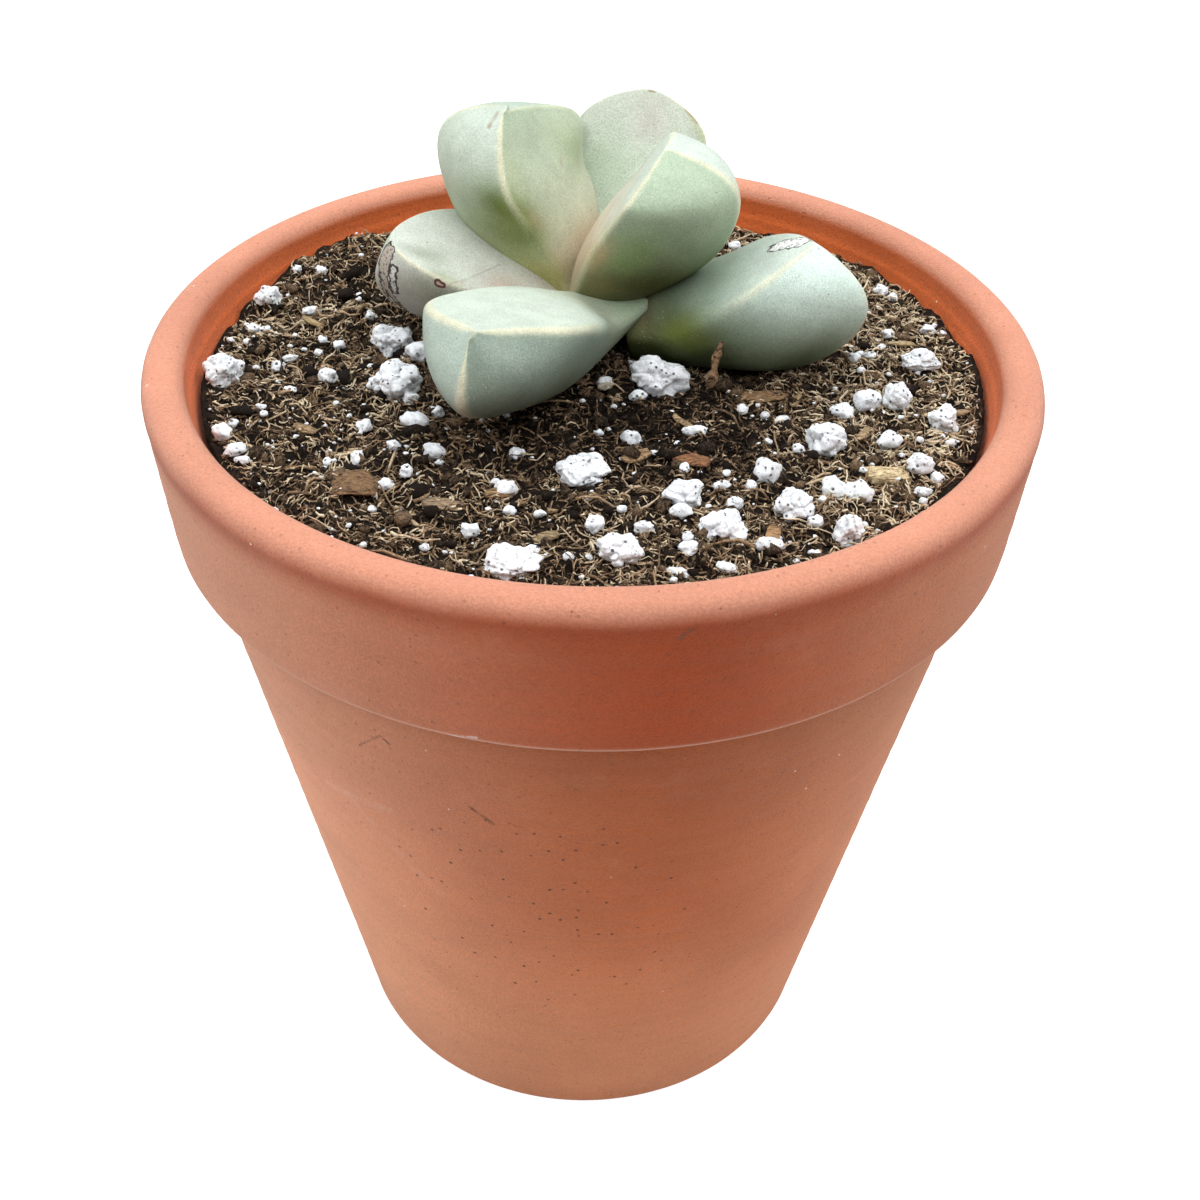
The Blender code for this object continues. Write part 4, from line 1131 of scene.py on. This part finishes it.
def node_box(node):
    """Middle and size of a solid's box in millimetres."""
    low, high = (np.array(corner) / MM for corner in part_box(node))
    return (low + high) / 2, high - low


def make_flake(name, node, slot, material, curl, blunt):
    """Thin curled flake that fills its solid's box."""
    centre, size = node_box(node)
    shape, pattern = ball(4)
    flake = flake_shape(shape, size, curl, blunt, len(name)) + centre
    add_piece(name, flake, pattern, material, slot, node)


def make_scale(material):
    """Dry leaf tip that stands curled beside the plant."""
    centre, size = node_box("dry_scale")
    rings, sides = 36, 20
    line = []
    for ring in range(rings):
        way = ring / (rings - 1)
        thick = (0.24 * size[0]) * (1 - way) ** 0.6 * (1 + 0.25 * math.sin(way * 19)) + 0.05
        line.append((centre[0] + (way - 0.5) * 2.0 + 0.25 * math.sin(way * 6), centre[1] + 0.3 * way,
                     centre[2] - 0.3 + (way - 0.5) * (size[2] + 1.4), thick))
    points = []
    for index, point in enumerate(tube_points(line, sides)):
        middle = Vector(line[index // sides][:3])
        crumpled = 1 + 0.7 * noise.noise(point * 1.4) + 0.3 * noise.noise(point * 4.0)
        offset = (point - middle) * crumpled
        points.append(middle + Vector((offset.x, offset.y * 0.6, offset.z)))
    add_piece("curled_scale", points, tube_faces(rings, sides), material, "dry_leaf", "dry_scale")


def make_litter(soil):
    """Small dry flakes on the peat."""
    shape, pattern = ball(3)
    for number, (x, y, long, wide, turn, colour) in enumerate(FLAKES):
        name = f"litter_{number + 1:02d}"
        material = litter_finish(name, colour, tuple(0.3 * part for part in colour))
        flake = flake_shape(shape, (long, wide, 0.5), 0.35 - 0.1 * (number % 5), 0.75, number)
        flake = spun(flake, math.radians(turn)) + (x, y, ground(x, y, soil) + 0.35)
        add_piece(name, flake, pattern, material, "dry_leaf")


# Leaves

def eased(values, power):
    """Quarter sine from 0 to 1, raised to a power."""
    return np.sin(np.clip(values, 0.0, 1.0) * math.pi / 2) ** power


def crease_lines(leaf, share):
    """Left margin, right margin and keel at shares of the length, in the leaf's own axes."""
    growth = leaf["base_width"] + (1 - leaf["base_width"]) * eased(share / leaf["widest"], 1.2)
    tail = np.clip((share - leaf["widest"]) / (1 - leaf["widest"]), 0.0, 1.0)
    taper = np.maximum(1 - tail ** 2, 0.0) ** (1 / leaf["tip_fullness"])
    half = leaf["width"] / 2 * np.where(share <= leaf["widest"], growth, taper)
    run = leaf["length"] * share
    drop = leaf["base_depth"] + (1 - leaf["base_depth"]) * eased(share / leaf["chin"], 1.0)
    turn = np.clip((share - leaf["chin"]) / (1 - leaf["chin"]), 0.0, 1.0) * math.pi / 2
    level = leaf["length"] * leaf["chin"] * leaf["keel_reach"]
    keel_run = np.where(share <= leaf["chin"], run * leaf["keel_reach"],
                        level + (leaf["length"] - level) * np.sin(turn))
    keel_drop = np.where(share <= leaf["chin"], drop, np.abs(np.cos(turn)) ** leaf["chin_fullness"])
    angle = math.radians(leaf["twist"]) * share
    lines = []
    for along, across, up in ((run, half, 0 * run), (run, -half, 0 * run),
                              (keel_run, leaf["keel_lean"] * leaf["width"] * share,
                               -leaf["depth"] * keel_drop)):
        bend = (along / leaf["length"]) ** 2 * leaf["length"]
        across = across + leaf["sweep"] * bend
        up = up + leaf["curl"] * bend
        lines.append(np.stack([along, across * np.cos(angle) - up * np.sin(angle),
                               across * np.sin(angle) + up * np.cos(angle)], axis=-1))
    return lines


def face_arc(start, end, middle, swell, across):
    """Swollen line of points across one face, for every section at once."""
    chord = end - start
    size = np.linalg.norm(chord, axis=1, keepdims=True)
    outward = (start + end) / 2 - middle
    unit = chord / np.maximum(size, 1e-9)
    outward = outward - (outward * unit).sum(axis=1, keepdims=True) * unit
    outward = outward / np.maximum(np.linalg.norm(outward, axis=1, keepdims=True), 1e-9)
    across = across[:, None]
    flat = start[:, None] * (1 - across) + end[:, None] * across
    lift = (4 * across * (1 - across))[None] * (swell[:, None] * size)[:, None]
    return flat + lift * outward[:, None]


def leaf_axes(leaf):
    """Directions along the leaf, across it and up from its upper face."""
    heading, rise, roll = np.radians([leaf["heading"], leaf["rise"], leaf["roll"]])
    along = np.array([math.cos(heading) * math.cos(rise), math.sin(heading) * math.cos(rise),
                      math.sin(rise)])
    level = np.array([-math.sin(heading), math.cos(heading), 0.0])
    upper = np.cross(along, level)
    across = level * math.cos(roll) + upper * math.sin(roll)
    up = upper * math.cos(roll) - level * math.sin(roll)
    return np.stack([along, across, up])


def foot_rings(leaf, first, neck):
    """Rings that lead from the stem to the first section of the blade."""
    along = leaf_axes(leaf)[0]
    middle = first.mean(axis=0)
    if not neck:
        neck = ((*STEM_PLACE, leaf["foot"]), FOOT_SHARE, 1.0, 0.0, 0.0)
    start, smallest, fullness, bend, turned = neck
    start = np.array(start)
    corner = (start + middle) / 2 - along * bend * np.linalg.norm(middle - start)
    rings = []
    for ring in range(FOOT_RINGS):
        way = FOOT_START + (1 - FOOT_START) * ring / FOOT_RINGS
        place = start * (1 - way) ** 2 + corner * 2 * way * (1 - way) + middle * way ** 2
        course = (corner - start) * (1 - way) + (middle - corner) * way
        course = course / np.linalg.norm(course)
        tilt = turned * (1 - way)
        facing = course * tilt + along * (1 - tilt)
        turn = Vector(along).rotation_difference(Vector(facing)).to_matrix()
        size = smallest + (1 - smallest) * eased(way, fullness)
        rings.append(place + (first - middle) @ np.array(turn).T * size)
    return np.stack(rings)


def softened(rings, corners, passes):
    """Rings whose three corners are rounded off a little."""
    count = rings.shape[1]
    index = np.arange(count)
    gap = np.min([np.minimum(abs(index - corner), count - abs(index - corner)) for corner in corners],
                 axis=0)
    weight = np.exp(-(gap / (3.0 + 0.1 * passes)) ** 2)[None, :, None]
    for _ in range(passes):
        middle = (np.roll(rings, 1, axis=1) + np.roll(rings, -1, axis=1)) / 2
        rings = rings + (middle - rings) * weight * 0.5
    return rings


def smooth_rows(grid, centre, passes):
    """Ease the rings near one ring into each other along the leaf."""
    rows = np.arange(1, len(grid) - 1)
    weight = 0.5 * np.exp(-((rows - centre) / SMOOTH_REACH) ** 2)[:, None, None]
    for _ in range(passes):
        grid[1:-1] += weight * (grid[:-2] + grid[2:] - 2 * grid[1:-1])


def leaf_grid(name, leaf, rings, steps):
    """Points of a leaf by ring, with each point's share of the length and place round it."""
    share = 1 - (1 - np.linspace(0.0, 1.0, rings)) ** 1.4
    across = 0.5 - 0.5 * np.cos(np.arange(steps) / steps * math.pi)
    left, right, keel = crease_lines(leaf, share)
    middle = (left + right + keel) / 3
    formed = np.clip(share / SHARP_FROM, 0.0, 1.0) ** 1.5
    bulge = BASE_BULGE + (leaf["bulge"] - BASE_BULGE) * formed
    crown = BASE_CROWN + (leaf["crown"] - BASE_CROWN) * formed
    faces = ((left, right, crown), (right, keel, bulge), (keel, left, bulge))
    sections = np.concatenate([face_arc(start, end, middle, swell, across) for start, end, swell in faces],
                              axis=1)
    sections = softened(sections, (0, steps, 2 * steps), leaf["rounding"])
    blade = np.array(leaf["base"]) + sections @ leaf_axes(leaf)
    feet = foot_rings(leaf, blade[0], NECKS.get(name))
    chords = np.stack([np.linalg.norm(end - start, axis=1) for start, end, _ in faces], axis=1)
    round_place = np.concatenate([across, 1 + across, 2 + across])
    grid = np.concatenate([feet, blade])
    smooth_rows(grid, len(feet) + int(np.searchsorted(share, leaf["chin"])), CHIN_PASSES)
    smooth_rows(grid, len(feet), NECK_PASSES if name in NECKS else FOOT_PASSES)
    shares = np.concatenate([np.zeros(len(feet)), share])
    chords = np.concatenate([np.repeat(chords[:1], len(feet), axis=0), chords])
    return grid, shares, round_place, chords


def round_gap(places, place):
    """Distance of each place round a leaf from one of them, from -1.5 to 1.5."""
    return (places - place + 1.5) % 3.0 - 1.5


def nearness(shares, places, share, place, share_spread, place_spread):
    """How near each point of a leaf lies to a spot on it, from 0 to 1."""
    gap = round_gap(places, place)
    return np.exp(-((shares[:, None] - share) / share_spread) ** 2 - (gap[None, :] / place_spread) ** 2)


def crease_mask(name, shares, places, chords, width):
    """How strongly each point lies on one of the three pale edge lines."""
    mask = np.zeros((len(shares), len(places)))
    broad, *strengths = CREASES[name]
    spread = np.minimum(width * broad, 0.10 * chords.min(axis=1) + 0.05)[:, None]
    for line, (low, high) in enumerate(strengths):
        gap = round_gap(places, line)
        chord = np.where(gap[None, :] >= 0, chords[:, [line]], chords[:, [line - 1]])
        distance = np.abs(gap)[None, :] * chord
        strength = np.clip(low + (high - low) * np.clip(shares * 1.35 - 0.1, 0.0, 1.0), 0.0, 1.0)
        mask = np.maximum(mask, strength[:, None] * np.exp(-(distance / spread) ** 2))
    return mask


def flesh_colours(name, shares, places):
    """Colour of the flesh at each point, from the face's gradient and its blotches, with the painted shade
    that both hold.
    """
    colours = np.zeros((len(shares), len(places), 3))
    weights = np.zeros((len(shares), len(places), 1))
    for face, stops in enumerate(FLESH_AND_SHADE[name]):
        weight = np.exp(-(round_gap(places, face + 0.5) / 0.42) ** 6)[None, :, None] + 1e-6
        along = np.stack([np.interp(shares, (0.0, 0.45, 0.95), [stop[band] for stop in stops])
                          for band in range(3)], axis=1)[:, None]
        colours += weight * along
        weights += weight
    colours /= weights
    for *spot, colour, strength in BLOTCHES_AND_SHADOWS[name]:
        cover = nearness(shares, places, *spot) * strength
        colours += (np.array(colour) - colours) * cover[..., None]
    return colours


def leaf_finish():
    """Waxy grey-green skin with fine grain, dark dots, scars, painted shade along a fold and a thin bloom.
    """
    skin = Finish("leaf_skin", 0.50, 0.45, {
        "Subsurface Weight": 0.10, "Subsurface Scale": 0.0010, "Subsurface Radius": (0.6, 1.0, 0.3)})
    mottle = skin.ease(skin.noise(0.45, 4.0, 0.6), 0.3, 0.7)
    colour = skin.shade(skin.attribute("flesh", "Color"), mottle, 0.93, 1.06)
    grain = skin.ease(skin.noise(6.5, 3.0, 0.8), 0.32, 0.68)
    colour = skin.shade(colour, grain, 0.80, 1.15)
    frost = skin.specks(4.2, 0.30, 0.20, place=skin.stretched(shift=(3, 9, 5)))
    frosted = skin.ease(skin.noise(0.5, 2.0), 0.40, 0.62)
    colour = skin.coat(colour, FROST, frost, frosted, 0.40)
    crowd = skin.ease(skin.noise(0.22, 2.0), 0.46, 0.58)
    colour = skin.coat(colour, BLACK_DOT, skin.specks(1.15, 0.10, 0.22), crowd, 0.85)
    colour = skin.coat(colour, BROWN_DOT, skin.specks(2.4, 0.15, 0.06), 0.55)
    ragged = skin.minus(skin.noise(1.5, 4.0, 0.65), 0.5)
    flecks = skin.ease(skin.noise(3.6, 3.0, 0.7), 0.53, 0.60)
    for start, end, width, fill, outline, strength in SCARS_AND_FOLD_SHADE:
        gap = skin.plus(skin.reach(start, end), skin.times(ragged, width * 1.5))
        if not outline:
            colour = skin.coat(colour, fill, skin.ease(gap, width, width * 0.1), strength)
            continue
        flecked = skin.coat(fill, outline, flecks, 0.80)
        colour = skin.coat(colour, flecked, skin.ease(gap, width, width * 0.65), strength)
        ring = skin.times(skin.ease(gap, width + 0.16, width + 0.05),
                          skin.ease(gap, width - 0.16, width - 0.04))
        colour = skin.coat(colour, outline, ring, strength)
    skin.bump(grain, 0.030)
    skin.bump(skin.noise(0.6), 0.12)
    return skin.finish(colour)


def closed(values):
    """Values of every ring but the last, then the last ring's mean, for the tip."""
    return np.concatenate([values[:-1].reshape(-1, 3), values[-1].mean(axis=0)[None]])


def make_leaf(name, leaf, leaves, material):
    """One leaf as a smooth closed skin with its colours."""
    grid, shares, places, chords = leaf_grid(name, leaf, leaves.rings, leaves.steps)
    rows, count = grid.shape[:2]
    outward = grid - grid.mean(axis=1, keepdims=True)
    outward /= np.maximum(np.linalg.norm(outward, axis=2, keepdims=True), 1e-6)
    uneven = np.array([0.10 * noise.noise(Vector(point) / 4.0) for point in grid.reshape(-1, 3)])
    push = uneven.reshape(rows, count) * np.minimum(1, chords.min(axis=1) / 4)[:, None]
    for *spot, depth in DENTS.get(name, ()):
        push += depth * nearness(shares, places, *spot)
    points = closed(grid + outward * push[..., None])

    faces = ring_faces(rows - 1, count)
    last = (rows - 2) * count
    faces += [(last + index, last + (index + 1) % count, len(points) - 1) for index in range(count)]
    faces.append(tuple(reversed(range(count))))
    colours = flesh_colours(name, shares, places)
    mask = crease_mask(name, shares, places, chords, leaves.crease / MM)[..., None]
    colours += (np.array(leaves.cream) - colours) * mask * CREASE_STRENGTH
    add_piece(name.replace("leaf_", "blade_"), points, faces, material, "leaf", name,
              flesh=closed(colours))


def stem_finish():
    """Short brown stem with old dry skin."""
    bark = Finish("stem_skin", 0.85, 0.2)
    rings = bark.noise(1.2, 4.0, 0.6, place=bark.stretched((0.6, 0.6, 2.4)))
    bark.bump(rings, 0.2)
    return bark.finish(bark.mix(*STEM_SKIN, bark.ease(rings, 0.4, 0.7)))


# Stage

def floor_finish(stage):
    """Smooth pale studio floor that shows white and throws little light back."""
    paper = Finish("studio_floor", 0.9, 0.1, {"Emission Color": (1.0, 1.0, 1.0, 1.0)})
    view = paper.node("ShaderNodeLightPath").outputs["Is Camera Ray"]
    paper.link(paper.times(view, stage.glow), paper.shader.inputs["Emission Strength"])
    return paper.finish(paper.shade(tuple(stage.floor), paper.noise(0.01, 2.0), 0.99, 1.01))


def make_floor(stage):
    """Square studio floor."""
    bm = bmesh.new()
    bmesh.ops.create_grid(bm, x_segments=8, y_segments=8, size=FLOOR_REACH)
    mesh = bpy.data.meshes.new("studio_floor")
    bm.to_mesh(mesh)
    bm.free()
    mesh.materials.append(floor_finish(stage))
    floor = add_object("studio_floor", mesh)


def make_world(stage):
    """Even light, and a wall that is seen pale though it lights the scene only a little."""
    world = bpy.data.worlds.new("studio")
    world.use_nodes = True
    nodes, links = world.node_tree.nodes, world.node_tree.links
    sky = nodes["Background"]
    sky.inputs["Color"].default_value = (1.0, 1.0, 1.0, 1.0)
    sky.inputs["Strength"].default_value = stage.sky
    wall = nodes.new("ShaderNodeBackground")
    wall.inputs["Strength"].default_value = stage.wall
    view = nodes.new("ShaderNodeLightPath")
    either = nodes.new("ShaderNodeMixShader")
    links.new(view.outputs["Is Camera Ray"], either.inputs["Fac"])
    links.new(sky.outputs[0], either.inputs[1])
    links.new(wall.outputs[0], either.inputs[2])
    links.new(either.outputs[0], nodes["World Output"].inputs["Surface"])
    bpy.context.scene.world = world


def add_light(name, strength, direction, spread):
    """Soft light from a direction, as even as a large studio panel far away."""
    light = bpy.data.lights.new(name, "SUN")
    light.energy = strength
    light.angle = math.radians(spread)
    add_object(name, light).rotation_euler = Vector(direction).to_track_quat("Z", "Y").to_euler()


def make_camera(stage):
    """Camera at the photograph's angle."""
    camera = bpy.data.cameras.new("camera")
    camera.lens = stage.lens
    camera.sensor_width = SENSOR_WIDTH
    camera.clip_start = NEAREST_SEEN
    viewer = add_object("camera", camera)
    away = Vector((0.0, -math.cos(stage.elevation), math.sin(stage.elevation)))
    turn = (-away).to_track_quat("-Z", "Y").to_matrix().to_4x4() @ Matrix.Rotation(stage.roll, 4, "Z")
    viewer.matrix_world = Matrix.Translation(Vector(LOOKED_AT) * MM + away * stage.distance) @ turn
    bpy.context.scene.camera = viewer


def make_stage(stage):
    """Floor, even light, studio panels and the camera."""
    make_floor(stage)
    make_world(stage)
    for name, kind, share, direction, spread in PANELS:
        add_light(name, getattr(stage, kind) * share, direction, spread)
    make_camera(stage)
    bpy.context.scene.view_settings.view_transform = "Standard"


class KAROO_OT_pot(bpy.types.Operator):
    """Turn the clay pot"""
    bl_idname = "karoo.pot"
    bl_label = "Clay Pot"

    def execute(self, context):
        make_pot(context.scene.karoo_pot)
        return {"FINISHED"}


class KAROO_OT_leaves(bpy.types.Operator):
    """Grow the six leaves and finish the stem"""
    bl_idname = "karoo.leaves"
    bl_label = "Leaves"

    def execute(self, context):
        material = leaf_finish()
        for name, leaf in LEAVES.items():
            make_leaf(name, leaf, context.scene.karoo_leaves, material)
        for slot in frame["nodes"]["stem"].material_slots:
            slot.material = stem_finish()
        return {"FINISHED"}


class KAROO_OT_soil(bpy.types.Operator):
    """Fill the pot with peat and strew fibres and crumbs on it"""
    bl_idname = "karoo.soil"
    bl_label = "Peat"

    def execute(self, context):
        soil, pot = context.scene.karoo_soil, context.scene.karoo_pot
        material = peat_finish(soil)
        obstacles = Obstacles("blade_")
        make_soil(soil, pot, material)
        make_crumbs(soil, pot, obstacles, material)
        for name, part, *kind in FIBRES:
            make_fibres(name, soil.fibres // part, *kind, soil, pot, obstacles, material)
        return {"FINISHED"}


class KAROO_OT_perlite(bpy.types.Operator):
    """Lay the perlite grains"""
    bl_idname = "karoo.perlite"
    bl_label = "Perlite"

    def execute(self, context):
        scene = context.scene
        material = perlite_finish(scene.karoo_perlite)
        make_large_perlite(material)
        obstacles = Obstacles("blade_", "grain_")
        make_small_perlite(scene.karoo_perlite, scene.karoo_soil, scene.karoo_pot, obstacles, material)
        return {"FINISHED"}


class KAROO_OT_litter(bpy.types.Operator):
    """Lay the wood splinter, the bark, the dry scale and the small flakes"""
    bl_idname = "karoo.litter"
    bl_label = "Litter"

    def execute(self, context):
        wood = litter_finish("pale_wood", *PALE_WOOD)
        dry = litter_finish("dry_leaf", *DRY_BARK)
        make_flake("wood_splinter", "wood_chip", "wood", wood, 0.05, 0.4)
        make_flake("bark_piece", "bark_flake", "dry_leaf", dry, -0.6, 0.8)
        make_scale(litter_finish("dry_scale", *DRY_SCALE))
        make_litter(context.scene.karoo_soil)
        return {"FINISHED"}


class KAROO_OT_stage(bpy.types.Operator):
    """Set the floor, the lights and the camera"""
    bl_idname = "karoo.stage"
    bl_label = "Studio"

    def execute(self, context):
        make_stage(context.scene.karoo_stage)
        return {"FINISHED"}


class KAROO_PT_panel(bpy.types.Panel):
    """Pieces of the potted karoo rose"""
    bl_label = "Karoo Rose"
    bl_idname = "KAROO_PT_panel"
    bl_space_type = "VIEW_3D"
    bl_region_type = "UI"
    bl_category = "Karoo Rose"

    def draw(self, context):
        for group, operators in GROUPS.items():
            box = self.layout.box()
            for operator in operators:
                box.operator(operator)
            settings = getattr(context.scene, group)
            for name in settings.__annotations__:
                box.prop(settings, name)


GROUPS = {
    "karoo_pot": ("karoo.pot",),
    "karoo_leaves": ("karoo.leaves",),
    "karoo_soil": ("karoo.soil", "karoo.litter"),
    "karoo_perlite": ("karoo.perlite",),
    "karoo_stage": ("karoo.stage",),
}
CLASSES = (KarooPot, KarooSoil, KarooPerlite, KarooLeaves, KarooStage, KAROO_OT_pot, KAROO_OT_leaves,
           KAROO_OT_soil, KAROO_OT_perlite, KAROO_OT_litter, KAROO_OT_stage, KAROO_PT_panel)
POINTERS = {"karoo_pot": KarooPot, "karoo_soil": KarooSoil, "karoo_perlite": KarooPerlite,
            "karoo_leaves": KarooLeaves, "karoo_stage": KarooStage}


def register():
    """Register the classes and hang the settings on the scene."""
    for item in CLASSES:
        bpy.utils.register_class(item)
    for name, group in POINTERS.items():
        setattr(bpy.types.Scene, name, PointerProperty(type=group))


def unregister():
    """Take the settings and classes away again."""
    for name in POINTERS:
        delattr(bpy.types.Scene, name)
    for item in reversed(CLASSES):
        bpy.utils.unregister_class(item)


def main():
    """Build every piece in order."""
    register()
    bpy.ops.karoo.pot()
    bpy.ops.karoo.leaves()
    bpy.ops.karoo.soil()
    bpy.ops.karoo.perlite()
    bpy.ops.karoo.litter()
    bpy.ops.karoo.stage()


if __name__ == "__main__":
    main()
